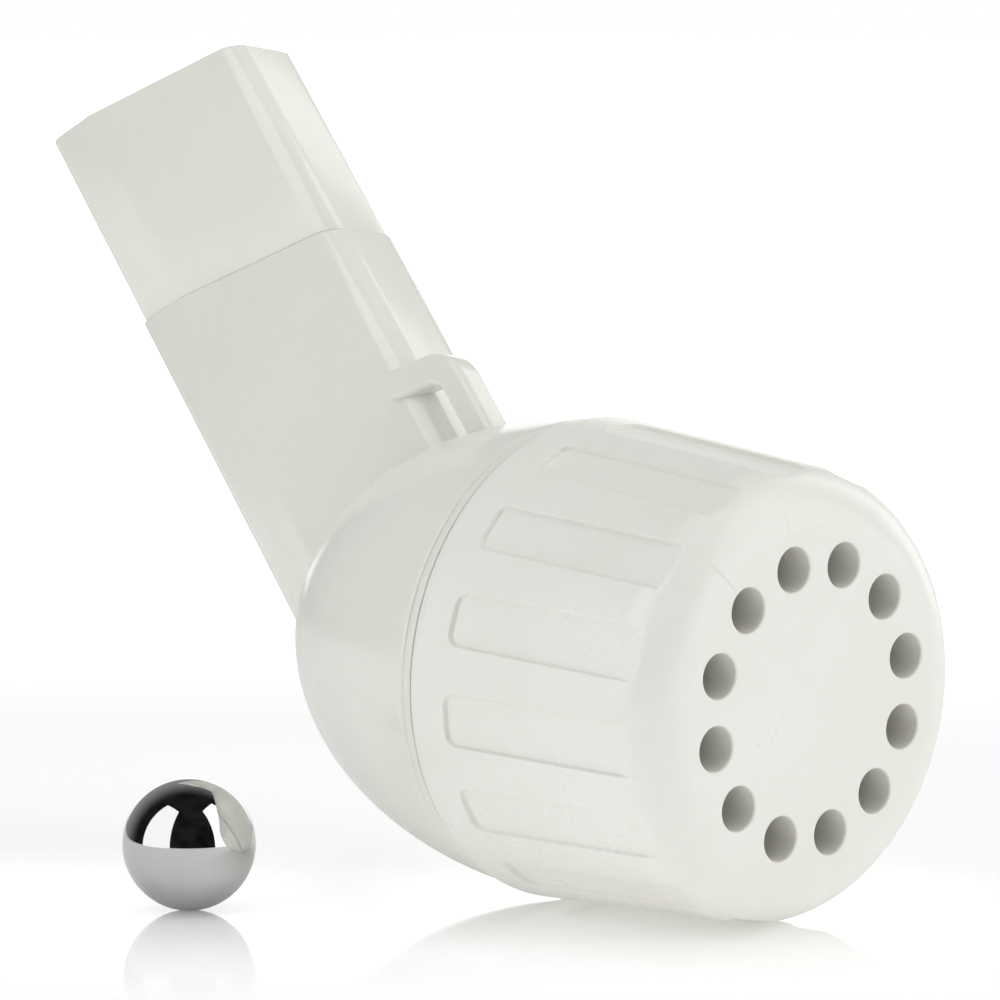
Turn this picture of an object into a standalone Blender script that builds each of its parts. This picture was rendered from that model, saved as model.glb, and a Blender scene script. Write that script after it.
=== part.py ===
"""Ball-and-cone breathing trainer, lying on its cap with the steel ball beside it.

All pieces are modelled in the head frame: Z along the head axis out of the cap's face,
X to the side, Y up when the cap lies on the table. The face centre is the origin.
Depths are distances behind the face, so a depth of d is at z = -d. The frame is then
tipped onto the table, so that the tapered side of the cap lies flat on it.
Lengths are in metres.
"""
import math

import bmesh
import bpy
from mathutils import Matrix, Vector

MM = 0.001

# Cap
CAP_RADIUS = 23.35 * MM
CAP_FRONT_RADIUS = 21.80 * MM
CAP_LENGTH = 29.9 * MM
CAP_EDGE_ROUND = 5.6 * MM
CAP_WALL = 3.7 * MM
CAP_FACE_WALL = 4.2 * MM
HOLE_COUNT = 12
HOLE_RADIUS = 2.15 * MM
HOLE_CIRCLE_RADIUS = 13.1 * MM
HOLE_PHASE = math.radians(15.06)
HOLE_SEGMENTS = 24
GRIP_COUNT = 15
GRIP_PHASE = math.radians(117.0)
GRIP_WIDTH = 5.1 * MM
GRIP_DEPTH = 0.5 * MM
GRIP_LAND = 4.2 * MM
GRIP_CORNER = 1.3 * MM
GRIP_CORNER_STEPS = 4

# Seal ring between the cap's rim and the bowl's shoulder
RING_THICKNESS = 0.8 * MM
RING_STEP_IN = 0.3 * MM
RING_NECK_GAP = 1.4 * MM

# Bowl and neck
BOWL_RADIUS = 22.95 * MM
BOWL_SHAPE_START = 28.5 * MM
BOWL_END = 63.2 * MM
BOWL_WALL = 1.0 * MM
NECK_CAP_GAP = 0.8 * MM
NECK_WALL = 1.8 * MM
NECK_LENGTH = 11.2 * MM
SHOULDER_ROUND = 0.6 * MM

# Stem
STEM_AXIS_DEPTH = 49.5 * MM
STEM_ANGLE = math.radians(43.06)
STEM_LEAN = math.radians(8.0)
STEM_WIDTH = 28.8 * MM
STEM_THICKNESS = 9.8 * MM
STEM_FRONT_ROUND = 2.5 * MM
STEM_BACK_TAPER = 7.8 * MM
STEM_BACK_THICKNESS = 6.2 * MM
STEM_BACK_ROUND = 2.3 * MM
STEM_TAPER_ROUND = 9.0 * MM
STEM_LEAST_ROUND = 0.4 * MM
STEM_WALL = 0.8 * MM
STEM_LENGTH = 45.7 * MM
STEM_ROOT = 4.0 * MM
CHANNEL_ROOT = 1.6 * MM
CUT_SLANT = math.radians(-22.67)

# Mouthpiece
MOUTH_STEP = 0.3 * MM
MOUTH_LENGTH = 25.0 * MM
SPIGOT_LENGTH = 8.0 * MM
SPIGOT_WALL = 0.7 * MM
MOUTH_WALL = 0.9 * MM
MOUTH_EDGE_ROUND = 0.3 * MM
MOUTH_EDGE_STEPS = 2

# Hook for a neck cord
HOOK_BAR = 3.1 * MM
HOOK_BAR_ROUND = 0.8 * MM
HOOK_REACH = 4.4 * MM
HOOK_HEIGHT = 19.6 * MM
HOOK_DROP = 3.6 * MM
HOOK_BEND = 2.6 * MM
HOOK_BEND_STEPS = 6
HOOK_ROOT = 2.3 * MM
HOOK_PROUD = 0.25 * MM
PAD_WIDTH = 4.8 * MM
PAD_DEPTH = 3.0 * MM
PAD_SLANT = math.radians(-40.0)

# Valve cone
CONE_THROAT_RADIUS = 4.6 * MM
CONE_HALF_ANGLE = math.radians(30.0)
CONE_WALL = 1.6 * MM
CONE_NECK_GAP = 0.65 * MM
CONE_TUBE_LENGTH = 5.0 * MM
CONE_FLANGE = 1.2 * MM

# Ball
BALL_RADIUS = 6.35 * MM
BALL_FROM_FACE_X = -33.0 * MM
BALL_FROM_FACE_Y = 50.2 * MM
BALL_COLUMNS = 48
BALL_ROWS = 32

# Fits and the frame
GAP = 0.3 * MM
CUT_OVER = 3.0 * MM
WELD_DISTANCE = 0.01 * MM

# How finely curves are divided
STEPS = 72
ROUND_STEPS = 8
INNER_ROUND_STEPS = 5
SHOULDER_STEPS = 3
BOWL_STEPS = 16
HOLLOW_STEPS = 10
CORNER_STEPS = 5
BAR_CORNER_STEPS = 3

# Where the cap's face centre stands on the table
FRAME_X = 8.0 * MM
FRAME_Y = -55.6 * MM

COLLECTION = "breathing_trainer"


def clear_scene():
    """Empty the file of its starting objects."""
    for found in list(bpy.data.objects):
        bpy.data.objects.remove(found, do_unlink=True)


def make_collection(name, hidden):
    """Return a new collection under the scene, hidden from renders if asked."""
    made = bpy.data.collections.new(name)
    made.hide_render = hidden
    bpy.context.scene.collection.children.link(made)
    return made


def material(name, colour, metallic, roughness):
    """Return a Principled material."""
    made = bpy.data.materials.new(name)
    made.use_nodes = True
    shader = made.node_tree.nodes["Principled BSDF"]
    shader.inputs["Base Color"].default_value = (*colour, 1.0)
    shader.inputs["Metallic"].default_value = metallic
    shader.inputs["Roughness"].default_value = roughness
    made.diffuse_color = (*colour, 1.0)
    return made


def add_object(name, mesh, home, matrix, finish=None):
    """Link a mesh as an object placed by a matrix."""
    made = bpy.data.objects.new(name, mesh)
    home.objects.link(made)
    made.matrix_world = matrix
    if finish:
        made.data.materials.append(finish)
    if home.hide_render:
        made.hide_render = True
        made.display_type = "WIRE"
    return made


def lathe_mesh(name, profile, closed):
    """Return a wire mesh of (radius, z) points for a Screw modifier to turn round Z."""
    mesh = bpy.data.meshes.new(name)
    shape = bmesh.new()
    points = [shape.verts.new((radius, 0.0, height)) for radius, height in profile]
    for first, second in zip(points, points[1:]):
        shape.edges.new((first, second))
    if closed:
        shape.edges.new((points[-1], points[0]))
    shape.to_mesh(mesh)
    shape.free()
    return mesh


def turn(target):
    """Turn an object's profile into a solid round its own Z axis."""
    screw = target.modifiers.new("turn", "SCREW")
    screw.axis = "Z"
    screw.angle = 2.0 * math.pi
    screw.steps = STEPS
    screw.render_steps = STEPS
    screw.use_merge_vertices = True
    screw.merge_threshold = WELD_DISTANCE
    return screw


def combine(target, other, operation):
    """Add an exact Boolean to an object."""
    boolean = target.modifiers.new(other.name, "BOOLEAN")
    boolean.operation = operation
    boolean.solver = "EXACT"
    boolean.object = other
    return boolean


def arc(centre_radius, centre_z, radius, start, end, count):
    """Return (radius, z) points on an arc, angles measured from the outward direction."""
    points = []
    for step in range(count + 1):
        angle = start + (end - start) * step / count
        points.append((centre_radius + radius * math.cos(angle), centre_z + radius * math.sin(angle)))
    return points


def ellipse_quarter(top_depth, half_length, radius, centre_depth, count):
    """Return points of the bowl's end curve from a depth down to its tip on the axis."""
    start = math.asin((top_depth - centre_depth) / half_length)
    points = []
    for step in range(count + 1):
        angle = start + (math.pi / 2.0 - start) * step / count
        points.append((radius * math.cos(angle), -(centre_depth + half_length * math.sin(angle))))
    points[-1] = (0.0, points[-1][1])
    return points


def taper_radius(depth):
    """Return the cap's outer radius on its tapered side at a depth."""
    share = (depth - CAP_EDGE_ROUND) / (CAP_LENGTH - CAP_EDGE_ROUND)
    return CAP_FRONT_RADIUS + (CAP_RADIUS - CAP_FRONT_RADIUS) * share


def head_tip():
    """Return how far the head axis dips, so that the tapered side lies on the table."""
    return math.atan2(CAP_RADIUS - CAP_FRONT_RADIUS, CAP_LENGTH - CAP_EDGE_ROUND)


def head_matrix():
    """Return the matrix from the head frame to the table frame."""
    tip = head_tip()
    height = CAP_RADIUS * math.cos(tip) - CAP_LENGTH * math.sin(tip)
    place = Matrix.Translation((FRAME_X, FRAME_Y, height))
    return place @ Matrix.Rotation(math.pi / 2.0 + tip, 4, "X")


def stem_matrix():
    """Return the matrix from the stem frame (X towards the hook, Z along the stem) to the head frame."""
    across = Vector((0.0, math.cos(STEM_ANGLE), math.sin(STEM_ANGLE)))
    side = Vector((1.0, 0.0, 0.0))
    along = Vector((0.0, math.sin(STEM_ANGLE), -math.cos(STEM_ANGLE)))
    basis = Matrix((across, side, along)).transposed().to_4x4()
    lean = Matrix.Rotation(-STEM_LEAN, 4, "Z")
    return Matrix.Translation((0.0, 0.0, -STEM_AXIS_DEPTH)) @ lean @ basis


def rounded_outline(corners, inset, steps):
    """Return a convex outline with rounded corners, given as (x, y, radius) anticlockwise, moved inwards."""
    count = len(corners)
    places = [Vector(corner[:2]) for corner in corners]
    points = []
    for index, here in enumerate(places):
        enter = (here - places[index - 1]).normalized()
        leave = (places[(index + 1) % count] - here).normalized()
        enter_normal = Vector((enter.y, -enter.x))
        leave_normal = Vector((leave.y, -leave.x))
        radius = max(corners[index][2] - inset, STEM_LEAST_ROUND)
        share = (inset + radius) / (1.0 + enter_normal.dot(leave_normal))
        centre = here - (enter_normal + leave_normal) * share
        start = math.atan2(enter_normal.y, enter_normal.x)
        sweep = (math.atan2(leave_normal.y, leave_normal.x) - start) % (2.0 * math.pi)
        for step in range(steps + 1):
            angle = start + sweep * step / steps
            points.append((centre.x + radius * math.cos(angle), centre.y + radius * math.sin(angle)))
    return points


def stem_outline(inset):
    """Return the stem's outline, thinner towards its back edge, moved inwards by an inset."""
    front = STEM_WIDTH / 2.0
    side = STEM_THICKNESS / 2.0
    back = STEM_BACK_THICKNESS / 2.0
    knee = STEM_BACK_TAPER - front
    corners = [
        (front, side, STEM_FRONT_ROUND),
        (knee, side, STEM_TAPER_ROUND),
        (-front, back, STEM_BACK_ROUND),
        (-front, -back, STEM_BACK_ROUND),
        (knee, -side, STEM_TAPER_ROUND),
        (front, -side, STEM_FRONT_ROUND),
    ]
    return rounded_outline(corners, inset, CORNER_STEPS)


def prism_mesh(name, outline, low, high, low_slant, high_slant, edge_round=0.0):
    """Return a prism along Z whose ends may be slanted across X."""
    mesh = bpy.data.meshes.new(name)
    shape = bmesh.new()
    base = shape.faces.new([shape.verts.new((x, y, low)) for x, y in outline])
    made = bmesh.ops.extrude_face_region(shape, geom=[base])["geom"]
    upper = [part for part in made if isinstance(part, bmesh.types.BMVert)]
    bmesh.ops.translate(shape, verts=upper, vec=(0.0, 0.0, high - low))
    raised = set(upper)
    for vert in shape.verts:
        slant = high_slant if vert in raised else low_slant
        vert.co.z += vert.co.x * math.tan(slant)
    bmesh.ops.recalc_face_normals(shape, faces=shape.faces)
    if edge_round > 0.0:
        rim = [edge for edge in shape.edges if edge.verts[0] in raised and edge.verts[1] in raised]
        bmesh.ops.bevel(
            shape, geom=rim, offset=edge_round, offset_type="OFFSET", segments=MOUTH_EDGE_STEPS, profile=0.5,
            affect="EDGES",
        )
    shape.to_mesh(mesh)
    shape.free()
    return mesh


def rounded_bar(width, radius):
    """Return the outline of a square bar with rounded edges."""
    half = width / 2.0
    corners = [(half, half, radius), (-half, half, radius), (-half, -half, radius), (half, -half, radius)]
    return rounded_outline(corners, 0.0, BAR_CORNER_STEPS)


def hook_foot():
    """Return the lower end of the hook's centre line in the stem frame."""
    side = -(STEM_THICKNESS / 2.0 + HOOK_PROUD - HOOK_BAR / 2.0)
    return Vector((STEM_WIDTH / 2.0 + HOOK_REACH, side, HOOK_DROP))


def hook_path():
    """Return the hook's centre line in the stem frame, from inside the stem to inside the bowl."""
    foot = hook_foot()
    slope = math.tan(CUT_SLANT)
    corner = Vector((foot.x, foot.y, HOOK_HEIGHT + HOOK_REACH * slope))
    start = Vector((STEM_WIDTH / 2.0 - HOOK_ROOT, foot.y, HOOK_HEIGHT - HOOK_ROOT * slope))
    into = (start - corner).normalized()
    down = (foot - corner).normalized()
    points = [start]
    bend_start = corner + into * HOOK_BEND
    bend_end = corner + down * HOOK_BEND
    for step in range(HOOK_BEND_STEPS + 1):
        share = step / HOOK_BEND_STEPS
        first = bend_start.lerp(corner, share)
        second = corner.lerp(bend_end, share)
        points.append(first.lerp(second, share))
    points.append(foot)
    return points


def sweep_mesh(name, path, outline):
    """Return a closed bar made by bridging copies of an outline along a path in the XZ plane."""
    mesh = bpy.data.meshes.new(name)
    shape = bmesh.new()
    loops = []
    for index, point in enumerate(path):
        before = path[max(index - 1, 0)]
        after = path[min(index + 1, len(path) - 1)]
        side = Vector((0.0, 1.0, 0.0))
        across = side.cross((after - before).normalized()).normalized()
        corners = [shape.verts.new(point + across * x + side * y) for x, y in outline]
        loops.append([shape.edges.new(pair) for pair in zip(corners, corners[1:] + corners[:1])])
        if index in (0, len(path) - 1):
            shape.faces.new(corners)
    for first, second in zip(loops, loops[1:]):
        bmesh.ops.bridge_loops(shape, edges=first + second)
    bmesh.ops.recalc_face_normals(shape, faces=shape.faces)
    shape.to_mesh(mesh)
    shape.free()
    return mesh


def cap_profile():
    """Return the cap's profile, from the face centre over the outside and back along the inside."""
    flat = CAP_FRONT_RADIUS - CAP_EDGE_ROUND
    outside = [(0.0, 0.0)]
    outside += arc(flat, -CAP_EDGE_ROUND, CAP_EDGE_ROUND, math.pi / 2.0, 0.0, ROUND_STEPS)
    outside.append((CAP_RADIUS, -CAP_LENGTH))
    inner_round = CAP_EDGE_ROUND - CAP_WALL
    inner_top = -CAP_FACE_WALL
    corner_depth = CAP_FACE_WALL + inner_round
    inner_radius = taper_radius(corner_depth) - CAP_WALL
    inside = [(CAP_RADIUS - CAP_WALL, -CAP_LENGTH)]
    inner_flat = inner_radius - inner_round
    inside += arc(inner_flat, -corner_depth, inner_round, 0.0, math.pi / 2.0, INNER_ROUND_STEPS)
    inside.append((0.0, inner_top))
    return outside + inside


def build_cap(parts, cutters, place):
    """Build the perforated screw cap."""
    finish = material("cap_plastic", (0.78, 0.77, 0.74), 0.0, 0.38)
    shell = lathe_mesh("perforated_cap", cap_profile(), False)
    cap = add_object("perforated_cap", shell, parts, place, finish)
    turn(cap)

    holes = bmesh.new()
    for index in range(HOLE_COUNT):
        angle = HOLE_PHASE + 2.0 * math.pi * index / HOLE_COUNT
        where = Vector((HOLE_CIRCLE_RADIUS * math.cos(angle), HOLE_CIRCLE_RADIUS * math.sin(angle), 0.0))
        bmesh.ops.create_cone(
            holes,
            cap_ends=True,
            segments=HOLE_SEGMENTS,
            radius1=HOLE_RADIUS,
            radius2=HOLE_RADIUS,
            depth=2.0 * (CAP_FACE_WALL + CUT_OVER),
            matrix=Matrix.Translation(where),
        )
    hole_mesh = bpy.data.meshes.new("cut_holes")
    holes.to_mesh(hole_mesh)
    holes.free()
    combine(cap, add_object("cut_holes", hole_mesh, cutters, place), "DIFFERENCE")

    grips = bmesh.new()
    tip = head_tip()
    floor = taper_radius(0.0) - GRIP_DEPTH
    rear = CAP_LENGTH - GRIP_LAND
    for index in range(GRIP_COUNT):
        spin = Matrix.Rotation(GRIP_PHASE + 2.0 * math.pi * index / GRIP_COUNT, 4, "Z")
        lay = Matrix.Translation((floor, 0.0, 0.0)) @ Matrix.Rotation(-tip, 4, "Y")
        length = rear + CUT_OVER
        box = bmesh.ops.create_cube(grips, size=1.0)["verts"]
        bmesh.ops.scale(grips, verts=box, vec=(2.0 * CUT_OVER, GRIP_WIDTH, length))
        bmesh.ops.translate(grips, verts=box, vec=(CUT_OVER, 0.0, CUT_OVER - length / 2.0))
        rear_edges = [
            edge
            for edge in {edge for vert in box for edge in vert.link_edges}
            if all(vert.co.z < CUT_OVER - length + WELD_DISTANCE for vert in edge.verts)
            and abs(edge.verts[0].co.y - edge.verts[1].co.y) < WELD_DISTANCE
        ]
        made = bmesh.ops.bevel(
            grips, geom=rear_edges, offset=GRIP_CORNER, offset_type="OFFSET", segments=GRIP_CORNER_STEPS,
            profile=0.5, affect="EDGES",
        )
        corners = {vert for vert in box if vert.is_valid} | set(made["verts"])
        bmesh.ops.transform(grips, matrix=spin @ lay, verts=list(corners))
    grip_mesh = bpy.data.meshes.new("cut_grips")
    grips.to_mesh(grip_mesh)
    grips.free()
    combine(cap, add_object("cut_grips", grip_mesh, cutters, place), "DIFFERENCE")
    return cap


def ring_depths():
    """Return the seal ring's front and back depths."""
    front = CAP_LENGTH + GAP
    return front, front + RING_THICKNESS


def shoulder_depth():
    """Return the depth of the bowl's shoulder, which the seal ring lies on."""
    return ring_depths()[1] + GAP


def neck_top_depth():
    """Return the depth of the neck's open end."""
    return shoulder_depth() - NECK_LENGTH


def neck_radius():
    """Return the neck's outer radius, which clears the cap's bore at the neck's open end."""
    return taper_radius(neck_top_depth()) - CAP_WALL - NECK_CAP_GAP


def build_ring(parts, place):
    """Build the seal ring that the cap's rim presses on the bowl's shoulder."""
    finish = material("seal_rubber", (0.80, 0.80, 0.77), 0.0, 0.45)
    front, back = ring_depths()
    inner = neck_radius() + RING_NECK_GAP
    outer = CAP_RADIUS - RING_STEP_IN
    profile = [(inner, -front), (outer, -front), (outer, -back), (inner, -back)]
    ring = add_object("seal_ring", lathe_mesh("seal_ring", profile, True), parts, place, finish)
    turn(ring)
    return ring


def build_housing(parts, cutters, place):
    """Build the neck, bowl, stem and cord hook, which are one moulding."""
    finish = material("housing_plastic", (0.74, 0.74, 0.70), 0.0, 0.36)
    shoulder = shoulder_depth()
    neck_top = neck_top_depth()
    half_length = BOWL_END - BOWL_SHAPE_START
    outside = [(0.0, -neck_top), (neck_radius(), -neck_top), (neck_radius(), -shoulder)]
    flare_start = shoulder + SHOULDER_ROUND
    curve = ellipse_quarter(flare_start, half_length, BOWL_RADIUS, BOWL_SHAPE_START, BOWL_STEPS)
    rim = curve[0][0] - SHOULDER_ROUND
    outside += arc(rim, -flare_start, SHOULDER_ROUND, math.pi / 2.0, 0.0, SHOULDER_STEPS)[:-1]
    outside += curve
    housing = add_object("stem_housing", lathe_mesh("stem_housing", outside, False), parts, place, finish)
    turn(housing)

    stem_place = place @ stem_matrix()
    stem = prism_mesh("join_stem", stem_outline(0.0), -STEM_ROOT, STEM_LENGTH, 0.0, CUT_SLANT)
    combine(housing, add_object("join_stem", stem, cutters, stem_place), "UNION")
    bar = sweep_mesh("join_hook", hook_path(), rounded_bar(HOOK_BAR, HOOK_BAR_ROUND))
    combine(housing, add_object("join_hook", bar, cutters, stem_place), "UNION")
    foot = hook_foot()
    pad_place = stem_place @ Matrix.Translation((foot.x, foot.y, 0.0))
    pad_outline = rounded_bar(PAD_WIDTH, HOOK_BAR_ROUND)
    pad = prism_mesh("join_pad", pad_outline, HOOK_DROP - PAD_DEPTH, HOOK_DROP, 0.0, PAD_SLANT)
    combine(housing, add_object("join_pad", pad, cutters, pad_place), "UNION")

    bore = neck_radius() - NECK_WALL
    inner_radius = BOWL_RADIUS - BOWL_WALL
    inner_half = half_length - BOWL_WALL
    bore_end = BOWL_SHAPE_START + inner_half * math.sqrt(1.0 - (bore / inner_radius) ** 2)
    inside = [(0.0, -(neck_top - CUT_OVER)), (bore, -(neck_top - CUT_OVER))]
    inside += ellipse_quarter(bore_end, inner_half, inner_radius, BOWL_SHAPE_START, HOLLOW_STEPS)
    hollow = add_object("cut_bowl", lathe_mesh("cut_bowl", inside, False), cutters, place)
    turn(hollow)
    combine(housing, hollow, "DIFFERENCE")
    channel = prism_mesh(
        "cut_channel", stem_outline(STEM_WALL), -CHANNEL_ROOT, STEM_LENGTH + CUT_OVER, 0.0, CUT_SLANT
    )
    combine(housing, add_object("cut_channel", channel, cutters, stem_place), "DIFFERENCE")
    return housing


def build_mouthpiece(parts, cutters, place):
    """Build the mouthpiece, whose spigot slides into the stem."""
    finish = material("mouthpiece_plastic", (0.73, 0.73, 0.69), 0.0, 0.34)
    stem_place = place @ stem_matrix()
    low = STEM_LENGTH + GAP
    high = low + MOUTH_LENGTH
    tip = prism_mesh(
        "mouthpiece", stem_outline(MOUTH_STEP), low, high, CUT_SLANT, CUT_SLANT, MOUTH_EDGE_ROUND
    )
    mouth = add_object("mouthpiece", tip, parts, stem_place, finish)
    spigot_inset = STEM_WALL + GAP
    spigot_low = STEM_LENGTH - SPIGOT_LENGTH
    spigot = prism_mesh(
        "join_spigot", stem_outline(spigot_inset), spigot_low, low + CUT_OVER, CUT_SLANT, CUT_SLANT
    )
    combine(mouth, add_object("join_spigot", spigot, cutters, stem_place), "UNION")
    passage = prism_mesh(
        "cut_passage",
        stem_outline(spigot_inset + SPIGOT_WALL),
        spigot_low - CUT_OVER,
        high + CUT_OVER,
        CUT_SLANT,
        CUT_SLANT,
    )
    combine(mouth, add_object("cut_passage", passage, cutters, stem_place), "DIFFERENCE")
    chamber_outline = stem_outline(MOUTH_STEP + MOUTH_WALL)
    chamber = prism_mesh(
        "cut_mouth", chamber_outline, low + MOUTH_WALL, high + CUT_OVER, CUT_SLANT, CUT_SLANT
    )
    combine(mouth, add_object("cut_mouth", chamber, cutters, stem_place), "DIFFERENCE")
    return mouth


def build_cone(parts, place):
    """Build the valve cone that the ball seats in."""
    finish = material("cone_plastic", (0.70, 0.71, 0.70), 0.0, 0.30)
    flange_back = neck_top_depth() - GAP
    flange_front = flange_back - CONE_FLANGE
    flange_radius = neck_radius() - GAP
    slope = math.tan(CONE_HALF_ANGLE)
    skin = CONE_WALL / math.cos(CONE_HALF_ANGLE)
    under = neck_radius() - NECK_WALL - CONE_NECK_GAP
    seat = flange_back + (under - skin - CONE_THROAT_RADIUS) / slope
    mouth = CONE_THROAT_RADIUS + (seat - flange_front) * slope
    tube_end = seat + CONE_TUBE_LENGTH
    tube_outer = CONE_THROAT_RADIUS + CONE_WALL
    tube_start = seat + (skin - CONE_WALL) / slope
    profile = [
        (mouth, -flange_front),
        (flange_radius, -flange_front),
        (flange_radius, -flange_back),
        (under, -flange_back),
        (tube_outer, -tube_start),
        (tube_outer, -tube_end),
        (CONE_THROAT_RADIUS, -tube_end),
        (CONE_THROAT_RADIUS, -seat),
    ]
    cone = add_object("valve_cone", lathe_mesh("valve_cone", profile, True), parts, place, finish)
    turn(cone)
    return cone


def build_ball(parts, place):
    """Build the steel ball, standing on the table beside the trainer."""
    finish = material("ball_steel", (0.62, 0.62, 0.62), 1.0, 0.06)
    mesh = bpy.data.meshes.new("steel_ball")
    shape = bmesh.new()
    bmesh.ops.create_uvsphere(shape, u_segments=BALL_COLUMNS, v_segments=BALL_ROWS, radius=BALL_RADIUS)
    shape.to_mesh(mesh)
    shape.free()
    face_centre = place.translation
    centre = Vector((face_centre.x + BALL_FROM_FACE_X, face_centre.y + BALL_FROM_FACE_Y, BALL_RADIUS))
    return add_object("steel_ball", mesh, parts, Matrix.Translation(centre), finish)


def build():
    """Build every piece of the trainer."""
    clear_scene()
    parts = make_collection(COLLECTION, False)
    cutters = make_collection("cutters", True)
    place = head_matrix()
    build_cap(parts, cutters, place)
    build_ring(parts, place)
    build_housing(parts, cutters, place)
    build_mouthpiece(parts, cutters, place)
    build_cone(parts, place)
    build_ball(parts, place)


build()
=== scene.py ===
"""Dressed model of the ball-and-cone breathing trainer, standing as it was photographed.

Turned and moulded pieces are built in the head frame: Z along the head axis out of the
cap's face, X to the side, Y up, and the face centre as origin. A depth of d is at z = -d.
Each finished mesh is then moved to its place on the table. Lengths are in metres.
"""
import logging
import math
from collections.abc import Iterable, Sequence
from dataclasses import dataclass, field
from enum import Enum

import bmesh
import bpy
from mathutils import Matrix, Vector


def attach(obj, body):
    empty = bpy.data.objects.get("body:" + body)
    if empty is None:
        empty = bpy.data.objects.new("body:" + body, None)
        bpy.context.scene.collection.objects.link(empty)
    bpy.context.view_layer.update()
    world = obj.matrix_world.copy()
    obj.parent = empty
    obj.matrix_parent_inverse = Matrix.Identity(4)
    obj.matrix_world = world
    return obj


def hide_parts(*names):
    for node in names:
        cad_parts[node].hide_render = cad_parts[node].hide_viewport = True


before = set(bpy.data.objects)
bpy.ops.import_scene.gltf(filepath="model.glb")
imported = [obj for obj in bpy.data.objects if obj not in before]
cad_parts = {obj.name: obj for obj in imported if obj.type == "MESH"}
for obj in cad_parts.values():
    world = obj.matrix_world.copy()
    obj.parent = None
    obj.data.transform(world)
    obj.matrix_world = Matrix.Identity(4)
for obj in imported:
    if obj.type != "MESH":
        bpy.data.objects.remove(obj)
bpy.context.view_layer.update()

MM = 0.001
TAU = 2.0 * math.pi
WELD = 0.000002

log = logging.getLogger("breathing_trainer")

Profile = list[tuple[float, float]]
Piece = bpy.types.Object
Material = bpy.types.Material
Socket = bpy.types.NodeSocket
Tree = bpy.types.NodeTree


class Body(Enum):
    """The bodies of the frame that pieces ride on."""

    HOUSING = "housing"
    MOUTHPIECE = "mouthpiece"
    SEAL_RING = "seal_ring"
    CAP = "cap"
    BALL = "ball"


class ThreadSide(Enum):
    """Which way a thread's crest points."""

    OUTWARDS = 1.0
    INWARDS = -1.0


# Node trees


class Nodes:
    """Adds and joins nodes in one tree."""

    def __init__(self, tree: Tree) -> None:
        """Keep the tree that the nodes go into."""
        self.tree = tree

    def add(self, kind: str, inputs: dict | None = None, **settings: object) -> bpy.types.Node:
        """Add a node.

        Args:
            kind: The node's type name.
            inputs: Socket names or numbers with a constant or a socket to link.
            settings: Node properties to set first.

        Returns:
            The new node.
        """
        node = self.tree.nodes.new(kind)
        for name, value in settings.items():
            setattr(node, name, value)
        for key, value in (inputs or {}).items():
            if isinstance(value, Socket):
                self.tree.links.new(value, node.inputs[key])
            else:
                node.inputs[key].default_value = value
        return node

    def link(self, source: Socket, target: Socket) -> None:
        """Join an output to an input."""
        self.tree.links.new(source, target)

    def math(self, operation: str, first: object, second: object = 0.0, third: object = 0.0) -> Socket:
        """Add a Math node and return its value."""
        node = self.add("ShaderNodeMath", {0: first, 1: second, 2: third}, operation=operation)
        return node.outputs[0]

    def plus(self, first: object, second: object) -> Socket:
        """Return the sum of two values."""
        return self.math("ADD", first, second)

    def minus(self, first: object, second: object) -> Socket:
        """Return the first value less the second."""
        return self.math("SUBTRACT", first, second)

    def times(self, first: object, second: object) -> Socket:
        """Return the product of two values."""
        return self.math("MULTIPLY", first, second)

    def ramp(self, value: object, low: float, high: float, start: object = 0.0, end: object = 1.0) -> object:
        """Add a smooth Map Range node from low..high to start..end and return its value."""
        node = self.add(
            "ShaderNodeMapRange",
            {"Value": value, "From Min": low, "From Max": high, "To Min": start, "To Max": end},
            interpolation_type="SMOOTHSTEP",
        )
        return node.outputs["Result"]

    def vector(self, operation: str, first: object, second: object) -> Socket:
        """Add a Vector Math node that measures two vectors and return its value."""
        node = self.add("ShaderNodeVectorMath", {0: first, 1: second}, operation=operation)
        return node.outputs["Value"]

    def noise(self, vector: object, scale: object, detail: float = 2.0, roughness: float = 0.5) -> object:
        """Add a Noise Texture and return its value."""
        node = self.add(
            "ShaderNodeTexNoise",
            {"Vector": vector, "Scale": scale, "Detail": detail, "Roughness": roughness},
        )
        return node.outputs[0]

    def blend(self, factor: object, first: object, second: object) -> Socket:
        """Add a colour Mix node and return its colour."""
        node = self.add("ShaderNodeMix", {0: factor, 6: first, 7: second}, data_type="RGBA")
        return node.outputs[2]


def new_group(name: str, kind: str, takes: Sequence[tuple], gives: Sequence[tuple]) -> tuple:
    """Make an empty node group with named sockets.

    Args:
        name: The group's name.
        kind: The tree's type.
        takes: Name, socket type and starting value of each input.
        gives: Name and socket type of each output.

    Returns:
        The tree, a Nodes helper, the group's input node and its output node.
    """
    tree = bpy.data.node_groups.new(name, kind)
    for label, socket, value in takes:
        made = tree.interface.new_socket(name=label, in_out="INPUT", socket_type=socket)
        if value is not None:
            made.default_value = value
    for label, socket in gives:
        tree.interface.new_socket(name=label, in_out="OUTPUT", socket_type=socket)
    nodes = Nodes(tree)
    return tree, nodes, nodes.add("NodeGroupInput"), nodes.add("NodeGroupOutput")


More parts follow.
